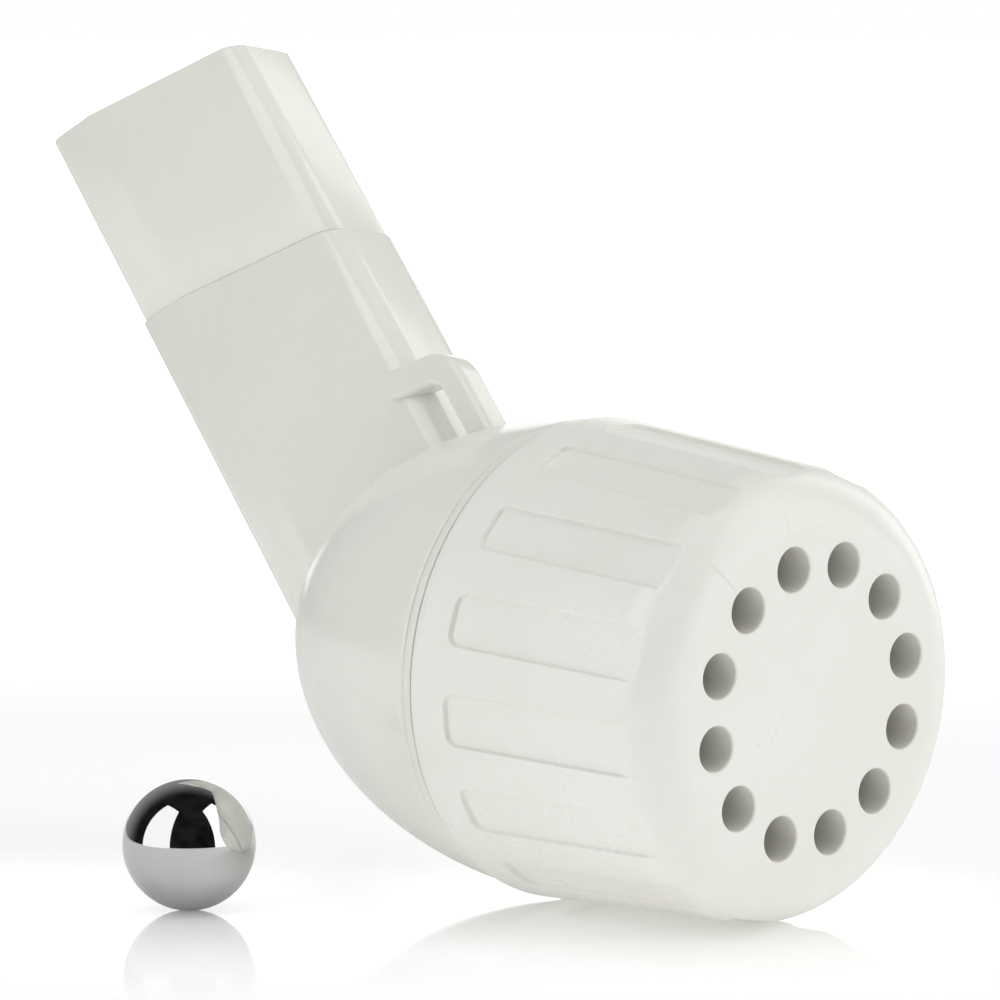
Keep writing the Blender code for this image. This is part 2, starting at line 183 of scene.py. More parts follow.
def spark_grain_group() -> Tree:
    """Make the fine raised grain that a spark-eroded mould leaves on plastic."""
    tree, nodes, takes, gives = new_group(
        "spark_grain",
        "ShaderNodeTree",
        [
            ("Vector", "NodeSocketVector", None),
            ("Scale", "NodeSocketFloat", 3000.0),
            ("Patchiness", "NodeSocketFloat", 0.5),
        ],
        [("Height", "NodeSocketFloat"), ("Mask", "NodeSocketFloat")],
    )
    place = takes.outputs["Vector"]
    fine = nodes.noise(place, takes.outputs["Scale"], 2.0, 0.6)
    coarse = nodes.noise(place, nodes.times(takes.outputs["Scale"], 0.42), 1.0, 0.5)
    pits = nodes.add(
        "ShaderNodeTexVoronoi",
        {"Vector": place, "Scale": nodes.times(takes.outputs["Scale"], 0.55), "Smoothness": 0.6},
        feature="SMOOTH_F1",
    )
    cells = nodes.times(pits.outputs["Distance"], 0.5)
    height = nodes.plus(nodes.times(fine, 0.5), nodes.times(coarse, 0.45))
    height = nodes.minus(height, cells)
    patches = nodes.noise(place, 160.0, 2.0, 0.6)
    spread = nodes.ramp(patches, 0.38, 0.62)
    full = nodes.minus(1.0, takes.outputs["Patchiness"])
    mask = nodes.plus(full, nodes.times(takes.outputs["Patchiness"], spread))
    nodes.link(nodes.times(height, mask), gives.inputs["Height"])
    nodes.link(mask, gives.inputs["Mask"])
    return tree


def mould_tone_group() -> Tree:
    """Make the slow cloudy change of tone that moulded plastic has."""
    tree, nodes, takes, gives = new_group(
        "mould_tone",
        "ShaderNodeTree",
        [
            ("Vector", "NodeSocketVector", None),
            ("Light", "NodeSocketColor", (0.8, 0.8, 0.78, 1.0)),
            ("Dark", "NodeSocketColor", (0.75, 0.75, 0.72, 1.0)),
        ],
        [("Color", "NodeSocketColor"), ("Cloud", "NodeSocketFloat")],
    )
    place = takes.outputs["Vector"]
    broad = nodes.noise(place, 38.0, 2.0, 0.5)
    small = nodes.noise(place, 420.0, 3.0, 0.6)
    cloud = nodes.plus(nodes.times(broad, 0.75), nodes.times(small, 0.25))
    cloud = nodes.ramp(cloud, 0.35, 0.65)
    nodes.link(
        nodes.blend(cloud, takes.outputs["Light"], takes.outputs["Dark"]), gives.inputs["Color"]
    )
    nodes.link(cloud, gives.inputs["Cloud"])
    return tree


def handling_group() -> Tree:
    """Make faint rub marks and hairline scratches from handling."""
    tree, nodes, takes, gives = new_group(
        "handling_marks",
        "ShaderNodeTree",
        [("Vector", "NodeSocketVector", None), ("Amount", "NodeSocketFloat", 0.5)],
        [("Rub", "NodeSocketFloat"), ("Scratch", "NodeSocketFloat")],
    )
    place = takes.outputs["Vector"]
    rub = nodes.ramp(nodes.noise(place, 75.0, 4.0, 0.65), 0.45, 0.72)
    stretched = nodes.add(
        "ShaderNodeMapping", {"Vector": place, "Rotation": (0.5, 0.9, 0.3), "Scale": (1.0, 14.0, 14.0)}
    )
    lines = nodes.noise(stretched.outputs["Vector"], 90.0, 2.0, 0.5)
    thin = nodes.ramp(nodes.math("ABSOLUTE", nodes.minus(lines, 0.5)), 0.0, 0.012, 1.0, 0.0)
    few = nodes.ramp(nodes.noise(place, 55.0, 1.0, 0.5), 0.56, 0.66)
    scratch = nodes.times(thin, few)
    nodes.link(nodes.times(rub, takes.outputs["Amount"]), gives.inputs["Rub"])
    nodes.link(nodes.times(scratch, takes.outputs["Amount"]), gives.inputs["Scratch"])
    return tree


@dataclass
class ShaderKit:
    """The node groups that the finishes share."""

    grain: Tree = field(default_factory=spark_grain_group)
    tone: Tree = field(default_factory=mould_tone_group)
    handling: Tree = field(default_factory=handling_group)


def blank_material(name: str) -> tuple[Material, Nodes, bpy.types.Node]:
    """Make a material with nodes.

    Args:
        name: The material's name.

    Returns:
        The material, a helper for its tree and its Principled shader.
    """
    made = bpy.data.materials.new(name)
    made.use_nodes = True
    return made, Nodes(made.node_tree), made.node_tree.nodes["Principled BSDF"]


def srgb(red: int, green: int, blue: int) -> tuple[float, float, float, float]:
    """Return a linear colour from screen values of 0 to 255."""
    linear = []
    for value in (red, green, blue):
        share = value / 255.0
        linear.append(share / 12.92 if share <= 0.04045 else ((share + 0.055) / 1.055) ** 2.4)
    return (*linear, 1.0)


@dataclass(frozen=True)
class SatinPlastic:
    """Off-white satin moulded plastic.

    Attributes:
        name: The material's name.
        light: The lighter colour of its cloudy tone.
        dark: The darker colour of its cloudy tone.
        roughness: Its plain roughness.
        grain_height: How high the mould's grain stands, in metres.
        grain_scale: How many grains there are in a metre.
        patchiness: How unevenly the grain lies.
        wear: How strong rub marks and scratches are.
        ior: Its refractive index.
    """

    name: str
    light: tuple[float, float, float, float]
    dark: tuple[float, float, float, float]
    roughness: float = 0.36
    grain_height: float = 0.000010
    grain_scale: float = 3000.0
    patchiness: float = 0.5
    wear: float = 0.4
    ior: float = 1.5

    def material(self, kit: ShaderKit) -> Material:
        """Build the material from the shared groups."""
        made, nodes, shader = blank_material(self.name)
        place = nodes.add("ShaderNodeTexCoord").outputs["Object"]
        tone = nodes.add("ShaderNodeGroup", node_tree=kit.tone)
        grain = nodes.add("ShaderNodeGroup", node_tree=kit.grain)
        marks = nodes.add("ShaderNodeGroup", node_tree=kit.handling)
        for group in (tone, grain, marks):
            nodes.link(place, group.inputs["Vector"])
        tone.inputs["Light"].default_value = self.light
        tone.inputs["Dark"].default_value = self.dark
        grain.inputs["Scale"].default_value = self.grain_scale
        grain.inputs["Patchiness"].default_value = self.patchiness
        marks.inputs["Amount"].default_value = self.wear
        rough = nodes.times(tone.outputs["Cloud"], 0.05)
        rough = nodes.plus(rough, nodes.times(marks.outputs["Rub"], 0.05))
        rough = nodes.plus(rough, self.roughness)
        height = self.extra_height(nodes, place, grain.outputs["Height"], marks.outputs["Scratch"])
        bump = nodes.add("ShaderNodeBump", {"Strength": 1.0, "Distance": self.grain_height, "Height": height})
        nodes.link(self.colour(nodes, place, tone.outputs["Color"]), shader.inputs["Base Color"])
        nodes.link(rough, shader.inputs["Roughness"])
        nodes.link(bump.outputs["Normal"], shader.inputs["Normal"])
        shader.inputs["IOR"].default_value = self.ior
        shader.inputs["Specular IOR Level"].default_value = 0.75
        return made

    def extra_height(self, nodes: Nodes, place: object, grain: object, scratch: object) -> object:
        """Return the surface height from grain and scratches."""
        return nodes.minus(grain, nodes.times(scratch, 0.03))

    def colour(self, nodes: Nodes, place: object, tone: object) -> object:
        """Return the surface colour."""
        return tone


@dataclass(frozen=True)
class CapPlastic(SatinPlastic):
    """The cap's plastic: coarser grain off the flat face, and hairline weld lines outwards from the holes."""

    head: Matrix = field(default_factory=Matrix)
    hole_count: int = 12
    hole_phase: float = 0.0
    line_start: float = 15.6 * MM
    line_end: float = 20.2 * MM
    line_width: float = 0.07 * MM
    line_wander: float = 0.4 * MM
    line_fade_in: float = 0.6 * MM
    line_fade_out: float = 1.8 * MM
    line_depth: float = 3.0 * MM
    clear_side: float = math.radians(120.0)

    def head_axes(self, nodes: Nodes, place: object) -> tuple[object, object, object]:
        """Return a point's distance from the head axis, its angle and its height over the face."""
        turned = nodes.add(
            "ShaderNodeMapping",
            {
                "Vector": place,
                "Location": self.head.translation,
                "Rotation": self.head.to_euler(),
            },
            vector_type="TEXTURE",
        )
        split = nodes.add("ShaderNodeSeparateXYZ", {0: turned.outputs["Vector"]})
        side, up, out = split.outputs[0], split.outputs[1], split.outputs[2]
        square = nodes.plus(nodes.times(side, side), nodes.times(up, up))
        return nodes.math("SQRT", square), nodes.math("ARCTAN2", up, side), out

    def weld_mask(self, nodes: Nodes, place: object) -> object:
        """Return a mask of the hairline weld lines, with some lines fainter than others."""
        radius, angle, out = self.head_axes(nodes, place)
        pitch = TAU / self.hole_count
        turned = nodes.math("DIVIDE", nodes.minus(angle, self.hole_phase), pitch)
        part = nodes.math("FRACT", nodes.plus(turned, 0.5))
        near = nodes.math("ABSOLUTE", nodes.minus(part, 0.5))
        away = nodes.times(nodes.times(near, pitch), radius)
        wobble = nodes.times(nodes.noise(place, 160.0, 1.0), self.line_wander)
        away = nodes.math("ABSOLUTE", nodes.minus(nodes.plus(away, wobble), self.line_wander / 2.0))
        line = nodes.ramp(away, 0.0, self.line_width, 1.0, 0.0)
        span = nodes.times(
            nodes.ramp(radius, self.line_start, self.line_start + self.line_fade_in),
            nodes.ramp(radius, self.line_end - self.line_fade_out, self.line_end, 1.0, 0.0),
        )
        front = nodes.math("GREATER_THAN", out, -self.line_depth)
        facing = nodes.math("COSINE", nodes.minus(angle, self.clear_side))
        faint = nodes.ramp(facing, 0.80, 0.92, 0.08, 1.0)
        return nodes.times(nodes.times(line, span), nodes.times(front, faint))

    def extra_height(self, nodes: Nodes, place: object, grain: object, scratch: object) -> object:
        """Return the surface height: the face is smoother, and the weld lines are shallow grooves."""
        radius, _, out = self.head_axes(nodes, place)
        flat = nodes.math("GREATER_THAN", out, -0.02 * MM)
        calm = nodes.minus(1.0, nodes.times(flat, 0.72))
        rough = nodes.times(grain, calm)
        lines = self.weld_mask(nodes, place)
        cut = nodes.plus(nodes.times(scratch, 0.01), nodes.times(lines, 0.5))
        return nodes.minus(rough, cut)

    def colour(self, nodes: Nodes, place: object, tone: object) -> object:
        """Return the surface colour, a little darker along the weld lines."""
        share = nodes.times(self.weld_mask(nodes, place), 0.30)
        return nodes.blend(share, tone, srgb(168, 168, 156))


@dataclass(frozen=True)
class PolishedSteel:
    """Mirror-polished bearing steel with faint handling marks."""

    name: str = "polished_steel"
    colour: tuple[float, float, float, float] = (0.68, 0.68, 0.67, 1.0)
    shade: tuple[float, float, float, float] = (0.63, 0.63, 0.63, 1.0)
    roughness: float = 0.035

    def material(self, kit: ShaderKit) -> Material:
        """Build the material from the shared groups."""
        made, nodes, shader = blank_material(self.name)
        place = nodes.add("ShaderNodeTexCoord").outputs["Object"]
        tone = nodes.add("ShaderNodeGroup", {"Light": self.colour, "Dark": self.shade}, node_tree=kit.tone)
        marks = nodes.add("ShaderNodeGroup", {"Amount": 0.5}, node_tree=kit.handling)
        nodes.link(place, tone.inputs["Vector"])
        nodes.link(place, marks.inputs["Vector"])
        rough = nodes.plus(nodes.times(marks.outputs["Rub"], 0.07), self.roughness)
        bump = nodes.add(
            "ShaderNodeBump",
            {
                "Strength": 0.25,
                "Distance": 0.000001,
                "Height": nodes.times(marks.outputs["Scratch"], -1.0),
            },
        )
        nodes.link(tone.outputs["Color"], shader.inputs["Base Color"])
        nodes.link(rough, shader.inputs["Roughness"])
        nodes.link(bump.outputs["Normal"], shader.inputs["Normal"])
        shader.inputs["Metallic"].default_value = 1.0
        return made


# Meshes


class Shape:
    """A mesh being built from loops of points."""

    def __init__(self) -> None:
        """Start with no points and no faces."""
        self.mesh = bmesh.new()

    def loop(self, points: Iterable[Vector]) -> list[bmesh.types.BMVert]:
        """Add points and return them in order."""
        return [self.mesh.verts.new(point) for point in points]

    def bridge(self, first: list, second: list, closed: bool = True) -> None:
        """Join two loops of the same length with quads."""
        count = len(first)
        for index in range(count if closed else count - 1):
            after = (index + 1) % count
            self.mesh.faces.new((first[index], first[after], second[after], second[index]))

    def bridge_all(self, loops: list[list], around: bool = False, closed: bool = True) -> None:
        """Join loops in order, and the last to the first if they go around."""
        for first, second in zip(loops, loops[1:]):
            self.bridge(first, second, closed)
        if around:
            self.bridge(loops[-1], loops[0], closed)

    def turned(self, profile: Profile, columns: int, around: bool = False) -> None:
        """Add a surface turned round Z.

        Args:
            profile: Radius and height of each point, where a radius of 0 is a pole.
            columns: How many points go round.
            around: Whether the last point joins the first.
        """
        rows = []
        for radius, height in profile:
            if radius < 1e-9:
                rows.append(self.loop([Vector((0.0, 0.0, height))]))
                continue
            turn = [TAU * column / columns for column in range(columns)]
            rows.append(self.loop(Vector((radius * math.cos(a), radius * math.sin(a), height)) for a in turn))
        pairs = list(zip(rows, rows[1:]))
        if around:
            pairs.append((rows[-1], rows[0]))
        for first, second in pairs:
            if len(first) == 1 or len(second) == 1:
                pole, ring = (first[0], second) if len(first) == 1 else (second[0], first)
                for index in range(columns):
                    self.mesh.faces.new((pole, ring[index], ring[(index + 1) % columns]))
            else:
                self.bridge(first, second)

    def close(self, loop: list) -> None:
        """Close a loop with one flat face."""
        self.mesh.faces.new(loop)

    def take(self, mesh: bpy.types.Mesh) -> None:
        """Add another mesh's points and faces, and remove that mesh."""
        self.mesh.from_mesh(mesh)
        bpy.data.meshes.remove(mesh)

    def fill_level(self, height: float) -> None:
        """Fill the flat area between the open edges at one height."""
        edges = [
            edge
            for edge in self.mesh.edges
            if len(edge.link_faces) == 1 and all(abs(vert.co.z - height) < WELD for vert in edge.verts)
        ]
        bmesh.ops.triangle_fill(
            self.mesh, use_beauty=True, use_dissolve=False, edges=edges, normal=Vector((0.0, 0.0, 1.0))
        )

    def weld(self) -> None:
        """Merge points that lie on each other."""
        bmesh.ops.remove_doubles(self.mesh, verts=self.mesh.verts, dist=WELD)

    def build(self, name: str, place: Matrix | None = None, outwards: bool = True) -> Piece:
        """Turn the shape into an object.

        Args:
            name: The object's name.
            place: Where the mesh goes, or nothing to leave it as built.
            outwards: Whether the faces are turned to point out of the closed shape.

        Returns:
            The object, at the origin with its place in its mesh.
        """
        if outwards:
            bmesh.ops.recalc_face_normals(self.mesh, faces=self.mesh.faces)
        data = bpy.data.meshes.new(name)
        self.mesh.to_mesh(data)
        self.mesh.free()
        if place:
            data.transform(place)
        made = bpy.data.objects.new(name, data)
        bpy.context.scene.collection.objects.link(made)
        return made


def settled_mesh(source: Piece) -> bpy.types.Mesh:
    """Return a plain mesh of an object with its modifiers applied, and remove the object."""
    bpy.context.view_layer.update()
    graph = bpy.context.evaluated_depsgraph_get()
    made = bpy.data.meshes.new_from_object(source.evaluated_get(graph))
    bpy.data.objects.remove(source, do_unlink=True)
    return made


def shade(target: Piece, sharp_above: float) -> None:
    """Shade an object smooth, with edges over an angle in degrees left sharp."""
    target.data.shade_smooth()
    target.data.set_sharp_from_angle(angle=math.radians(sharp_above))


def arc(centre: tuple[float, float], radius: float, start: float, end: float, count: int) -> Profile:
    """Return points of an arc, with angles in degrees from the outward direction."""
    points = []
    for step in range(count + 1):
        angle = math.radians(start + (end - start) * step / count)
        points.append((centre[0] + radius * math.cos(angle), centre[1] + radius * math.sin(angle)))
    return points


def even_steps(start: float, end: float, count: int) -> list[float]:
    """Return the ends of a number of even steps from one value to another."""
    return [start + (end - start) * step / count for step in range(1, count + 1)]


def rounded_outline(corners: Sequence[tuple[float, float, float]], inset: float, steps: int) -> list[tuple]:
    """Return a convex outline with rounded corners, moved inwards.

    Args:
        corners: X, Y and rounding radius of each corner, anticlockwise.
        inset: How far the outline moves in.
        steps: How many edges each corner's arc has.

    Returns:
        X and Y of each point, with the same count whatever the inset.
    """
    places = [Vector((x, y)) for x, y, _ in corners]
    count = len(places)
    outline = []
    for index in range(count):
        before, here, after = places[index - 1], places[index], places[(index + 1) % count]
        enter = (here - before).normalized()
        leave = (after - here).normalized()
        enter_normal = Vector((enter.y, -enter.x))
        leave_normal = Vector((leave.y, -leave.x))
        share = 1.0 + enter_normal.dot(leave_normal)
        radius = max(corners[index][2] - inset, 0.2 * MM)
        centre = here - (enter_normal + leave_normal) * ((inset + radius) / share)
        start = math.atan2(enter_normal.y, enter_normal.x)
        sweep = (math.atan2(leave_normal.y, leave_normal.x) - start) % TAU
        for step in range(steps + 1):
            angle = start + sweep * step / steps
            outline.append((centre.x + radius * math.cos(angle), centre.y + radius * math.sin(angle)))
    return outline


def sweep(shape: Shape, path: Sequence[Vector], outline: Sequence[tuple[float, float]]) -> None:
    """Add a closed bar that follows a path in the XZ plane.

    Args:
        shape: The shape that the bar is added to.
        path: The centre line's points.
        outline: The bar's section, across the path and along Y.
    """
    side = Vector((0.0, 1.0, 0.0))
    loops = []
    for index, point in enumerate(path):
        before = path[max(index - 1, 0)]
        after = path[min(index + 1, len(path) - 1)]
        across = side.cross((after - before).normalized()).normalized()
        loops.append(shape.loop(point + across * x + side * y for x, y in outline))
    shape.bridge_all(loops)
    shape.close(loops[0])
    shape.close(loops[-1])


# Geometry Nodes


def modifier_result(source: Piece, tree: Tree, values: dict[str, object]) -> bpy.types.Mesh:
    """Run a Geometry Nodes tree on an object.

    Args:
        source: The object, which is used up.
        tree: The tree to run.
        values: Input names and their values.

    Returns:
        The finished plain mesh.
    """
    names = {item.name: item.identifier for item in tree.interface.items_tree if item.in_out == "INPUT"}
    modifier = source.modifiers.new(tree.name, "NODES")
    modifier.node_group = tree
    for name, value in values.items():
        modifier[names[name]] = value
    return settled_mesh(source)


def turned_copies(nodes: Nodes, shape: Socket, count: Socket, start_angle: Socket) -> Socket:
    """Repeat a shape evenly round Z in a Geometry Nodes tree.

    Args:
        nodes: The tree's helper.
        shape: The shape to repeat.
        count: How many copies stand round the axis.
        start_angle: The angle of the first copy.

    Returns:
        The copies as real geometry.
    """
    points = nodes.add("GeometryNodeMeshLine", {"Count": count, "Offset": (0.0, 0.0, 0.0)})
    step = nodes.math("DIVIDE", TAU, count)
    index = nodes.add("GeometryNodeInputIndex").outputs[0]
    turn = nodes.add("ShaderNodeCombineXYZ", {"Z": nodes.math("MULTIPLY_ADD", index, step, start_angle)})
    rotation = nodes.add("FunctionNodeEulerToRotation", {0: turn.outputs[0]})
    copies = nodes.add(
        "GeometryNodeInstanceOnPoints",
        {"Points": points.outputs[0], "Instance": shape, "Rotation": rotation.outputs[0]},
    )
    return nodes.add("GeometryNodeRealizeInstances", {0: copies.outputs[0]}).outputs[0]


def round_array_tree() -> Tree:
    """Make the tree that repeats a shape evenly round the head axis and welds the copies."""
    tree, nodes, takes, gives = new_group(
        "round_array",
        "GeometryNodeTree",
        [
            ("Geometry", "NodeSocketGeometry", None),
            ("Count", "NodeSocketInt", 12),
            ("Start Angle", "NodeSocketFloat", 0.0),
            ("Material", "NodeSocketMaterial", None),
        ],
        [("Geometry", "NodeSocketGeometry")],
    )
    sockets = (takes.outputs[name] for name in ("Geometry", "Count", "Start Angle"))
    real = turned_copies(nodes, *sockets)
    welded = nodes.add("GeometryNodeMergeByDistance", {"Geometry": real, "Distance": WELD})
    painted = nodes.add(
        "GeometryNodeSetMaterial", {"Geometry": welded.outputs[0], "Material": takes.outputs["Material"]}
    )
    nodes.link(painted.outputs[0], gives.inputs["Geometry"])
    return tree


def thread_tree() -> Tree:
    """Make the tree that winds a thread rib along a helix and repeats it for each start."""
    tree, nodes, takes, gives = new_group(
        "thread",
        "GeometryNodeTree",
        [
            ("Geometry", "NodeSocketGeometry", None),
            ("Radius", "NodeSocketFloat", 0.02),
            ("Lead", "NodeSocketFloat", 0.006),
            ("Turns", "NodeSocketFloat", 1.0),
            ("Low End", "NodeSocketFloat", 0.0),
            ("Root Width", "NodeSocketFloat", 0.001),
            ("Crest Width", "NodeSocketFloat", 0.0005),
            ("Rib Height", "NodeSocketFloat", 0.0006),
            ("Facing", "NodeSocketFloat", 1.0),
            ("Starts", "NodeSocketInt", 2),
            ("Start Angle", "NodeSocketFloat", 0.0),
            ("Material", "NodeSocketMaterial", None),
        ],
        [("Geometry", "NodeSocketGeometry")],
    )
    radius = takes.outputs["Radius"]
    helix = nodes.add(
        "GeometryNodeCurveSpiral",
        {
            "Resolution": 96,
            "Rotations": takes.outputs["Turns"],
            "Start Radius": radius,
            "End Radius": radius,
            "Height": nodes.times(takes.outputs["Turns"], takes.outputs["Lead"]),
        },
    )
    upright = nodes.add("GeometryNodeSetCurveNormal", {0: helix.outputs[0]}, mode="Z_UP")
    along = nodes.add("GeometryNodeSplineParameter").outputs["Factor"]
    rise = nodes.ramp(along, 0.0, 0.12, 0.05, 1.0)
    fall = nodes.ramp(along, 0.88, 1.0, 1.0, 0.05)
    swell = nodes.times(rise, fall)
    sized = nodes.add("GeometryNodeSetCurveRadius", {"Curve": upright.outputs[0], "Radius": swell})
    outline = nodes.add(
        "GeometryNodeCurvePrimitiveQuadrilateral",
        {
            "Bottom Width": takes.outputs["Root Width"],
            "Top Width": takes.outputs["Crest Width"],
            "Height": takes.outputs["Rib Height"],
            "Offset": 0.0,
        },
        mode="TRAPEZOID",
    )
    softened = nodes.add("GeometryNodeFilletCurve", {"Curve": outline.outputs[0], "Radius": 0.1 * MM})
    quarter = nodes.times(takes.outputs["Facing"], -math.pi / 2.0)
    turn = nodes.add("ShaderNodeCombineXYZ", {"Z": quarter}).outputs[0]
    facing = nodes.add("GeometryNodeTransform", {"Geometry": softened.outputs[0], "Rotation": turn})
    rib = nodes.add(
        "GeometryNodeCurveToMesh",
        {"Curve": sized.outputs[0], "Profile Curve": facing.outputs[0], "Fill Caps": True},
    )
    lift = nodes.add("ShaderNodeCombineXYZ", {"Z": takes.outputs["Low End"]})
    raised = nodes.add("GeometryNodeTransform", {"Geometry": rib.outputs[0], "Translation": lift.outputs[0]})
    real = turned_copies(nodes, raised.outputs[0], takes.outputs["Starts"], takes.outputs["Start Angle"])
    painted = nodes.add("GeometryNodeSetMaterial", {"Geometry": real, "Material": takes.outputs["Material"]})
    nodes.link(painted.outputs[0], gives.inputs["Geometry"])
    return tree


@dataclass
class Workshop:
    """What every sub-assembly is built with."""

    kit: ShaderKit = field(default_factory=ShaderKit)
    round_array: Tree = field(default_factory=round_array_tree)
    thread: Tree = field(default_factory=thread_tree)

    def dress(
        self, piece: Piece, finish: Material, body: Body, nodes: Sequence[str] = ()
    ) -> None:
        """Give a piece its finish and its place in the frame.

        Args:
            piece: The finished object.
            finish: Its material.
            body: The body that it moves with.
            nodes: The frame's nodes that it stands for.
        """
        piece.data.materials.clear()
        piece.data.materials.append(finish)
        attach(piece, body.value)
        if nodes:
            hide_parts(*nodes)
        piece.data.calc_loop_triangles()
        log.info("%s: %d triangles on %s", piece.name, len(piece.data.loop_triangles), body.value)


# Sub-assemblies


@dataclass
class Thread:
    """One side of the two-start screw thread between the neck and the cap."""

    lead: float = 6.0 * MM
    starts: int = 2
    root_width: float = 1.1 * MM
    crest_width: float = 0.6 * MM
    buried: float = 0.3 * MM

    def build(
        self, shop: Workshop, name: str, side: ThreadSide, surface: float, rib: float, low: float,
        high: float, phase: float, place: Matrix,
    ) -> Piece:
        """Build the ribs of one side.

        Args:
            shop: The shared trees.
            name: The piece's name.
            side: Whether the crest points outwards or inwards.
            surface: The radius that the ribs stand on.
            rib: How far the ribs stand out of it.
            low: The depth where the ribs end at the back.
            high: The depth where they end at the front.
            phase: The angle of the first start.
            place: Where the mesh goes.

        Returns:
            The thread object.
        """
        centre = surface + side.value * (rib - self.buried) / 2.0
        turns = (low - high) / self.lead
        base = bpy.data.objects.new(name, bpy.data.meshes.new(name))
        bpy.context.scene.collection.objects.link(base)
        values = {
            "Radius": centre, "Lead": self.lead, "Turns": turns, "Low End": -low,
            "Root Width": self.root_width, "Crest Width": self.crest_width, "Rib Height": rib + self.buried,
            "Facing": side.value, "Starts": self.starts, "Start Angle": phase - low / self.lead * TAU,
        }
        shape = Shape()
        shape.take(modifier_result(base, shop.thread, values))
        return shape.build(name, place)


@dataclass
class PerforatedCap:
    """The screw cap with its ring of holes and its grip recesses."""

    rim_radius: float = 23.35 * MM
    front_radius: float = 21.80 * MM
    length: float = 29.9 * MM
    edge_round: float = 5.6 * MM
    wall: float = 3.7 * MM
    face_wall: float = 4.2 * MM
    rim_round: float = 0.25 * MM
    hole_count: int = 12
    hole_radius: float = 2.15 * MM
    hole_circle: float = 13.1 * MM
    hole_phase: float = math.radians(15.06)
    hole_round: float = 0.22 * MM
    hole_points: int = 48
    grip_count: int = 15
    grip_phase: float = math.radians(117.0)
    grip_width: float = 5.1 * MM
    grip_depth: float = 0.5 * MM
    grip_land: float = 4.2 * MM
    grip_corner: float = 1.3 * MM
    grip_edge: float = 0.15 * MM
    crisp_band: float = 0.2 * MM
    fine_step: float = 0.05 * MM
    side_start: float = 8.0 * MM
    edge_rows: int = 34
    guard: float = 0.12 * MM
    face_x: float = 8.0 * MM
    face_y: float = -55.6 * MM
    trim: float = 0.012 * MM
    bore_taper: float = 0.35 * MM
    thread_rib: float = 0.80 * MM
    thread_back: float = 1.2 * MM
    thread_front: float = 8.2 * MM
    thread: Thread = field(default_factory=Thread)

    def tip(self) -> float:
        """Return how far the head axis dips, so that the tapered side lies on the table."""
        return math.atan2(self.rim_radius - self.front_radius, self.length - self.edge_round)

    def place(self) -> Matrix:
        """Return the matrix from the head frame to the table."""
        tip = self.tip()
        height = self.rim_radius * math.cos(tip) - self.length * math.sin(tip)
        face = Matrix.Translation((self.face_x, self.face_y, height))
        return face @ Matrix.Rotation(math.pi / 2.0 + tip, 4, "X")

    def taper(self, depth: float) -> float:
        """Return the outside radius on the tapered side at a depth."""
        share = (depth - self.edge_round) / (self.length - self.edge_round)
        return self.front_radius + (self.rim_radius - self.front_radius) * share

    def outside_rows(self) -> Profile:
        """Return radius and depth of the rows over the outside, close together where the recesses turn."""
        flat = self.front_radius - self.edge_round
        rows = [(flat - self.guard, 0.0)]
        edge = arc((flat, -self.edge_round), self.edge_round, 90.0, 0.0, self.edge_rows)
        rows += [(r, -z) for r, z in edge]
        rear = self.length - self.grip_land
        turn_in = rear - self.grip_corner - self.crisp_band
        crisp = rear - self.crisp_band
        rim = self.length - self.rim_round
        depths = even_steps(self.edge_round, self.side_start, 4)
        depths += even_steps(self.side_start, turn_in, 8)
        depths += even_steps(turn_in, crisp, 10)
        depths += [crisp + self.fine_step * step for step in range(1, 9)]
        depths += even_steps(depths[-1], rim, 5)
        rows += [(self.taper(depth), depth) for depth in depths]
        edge = arc((self.taper(rim) - self.rim_round, -rim), self.rim_round, 0.0, -90.0, 4)
        rows += [(r, -z) for r, z in edge[1:]]
        return rows

    def inside_rows(self) -> Profile:
        """Return radius and depth of the rows from the rim up the bore to the flat under the face."""
        inner_round = self.edge_round - self.wall
        corner = self.face_wall + inner_round
        bore = self.taper(corner) - self.wall
        mouth = self.rim_radius - self.wall
        rim = self.length - self.rim_round
        rows = [(mouth + self.rim_round, self.length), (mouth, rim)]
        rows += [
            (mouth + (bore - mouth) * step / 6, rim + (corner - self.length + self.rim_round) * step / 6)
            for step in range(1, 6)
        ]
        rows += [(r, -z) for r, z in arc((bore - inner_round, -corner), inner_round, 0.0, 90.0, 8)]
        rows.append((bore - inner_round - self.guard, self.face_wall))
        return rows

    def sideways(self) -> list[float]:
        """Return how far from a recess's middle its columns stand."""
        edge = self.grip_width / 2.0
        start = edge - self.grip_corner - 0.1 * MM
        crisp = edge - self.crisp_band
        offsets = [0.0, 0.45 * start, 0.8 * start]
        offsets += [start + (crisp - start) * step / 9 for step in range(9)]
        offsets += [crisp + self.fine_step * step for step in range(9)]
        offsets.append(edge + 2.0 * self.crisp_band)
        return offsets

    def column_angles(self, radius: float) -> list[float]:
        """Return the angles of one recess's columns at a radius, from one side of its share to the other."""
        half = math.pi / self.grip_count
        ahead = [math.asin(min(offset / radius, 0.95)) for offset in self.sideways()]
        ahead += [ahead[-1] + (half - ahead[-1]) * share for share in (0.3, 0.65, 1.0)]
        return [-angle for angle in reversed(ahead[1:])] + ahead

    def recess_share(self, across: float, depth: float) -> float:
        """Return how far a point is inside the recess's outline, from 0 outside to 1 inside."""
        rear = self.length - self.grip_land
        in_side = abs(across) - (self.grip_width / 2.0 - self.grip_corner)
        in_rear = depth - (rear - self.grip_corner)
        outside = math.hypot(max(in_side, 0.0), max(in_rear, 0.0))
        distance = outside + min(max(in_side, in_rear), 0.0) - self.grip_corner
        share = min(max(0.5 - distance / self.grip_edge, 0.0), 1.0)
        return share * share * (3.0 - 2.0 * share)

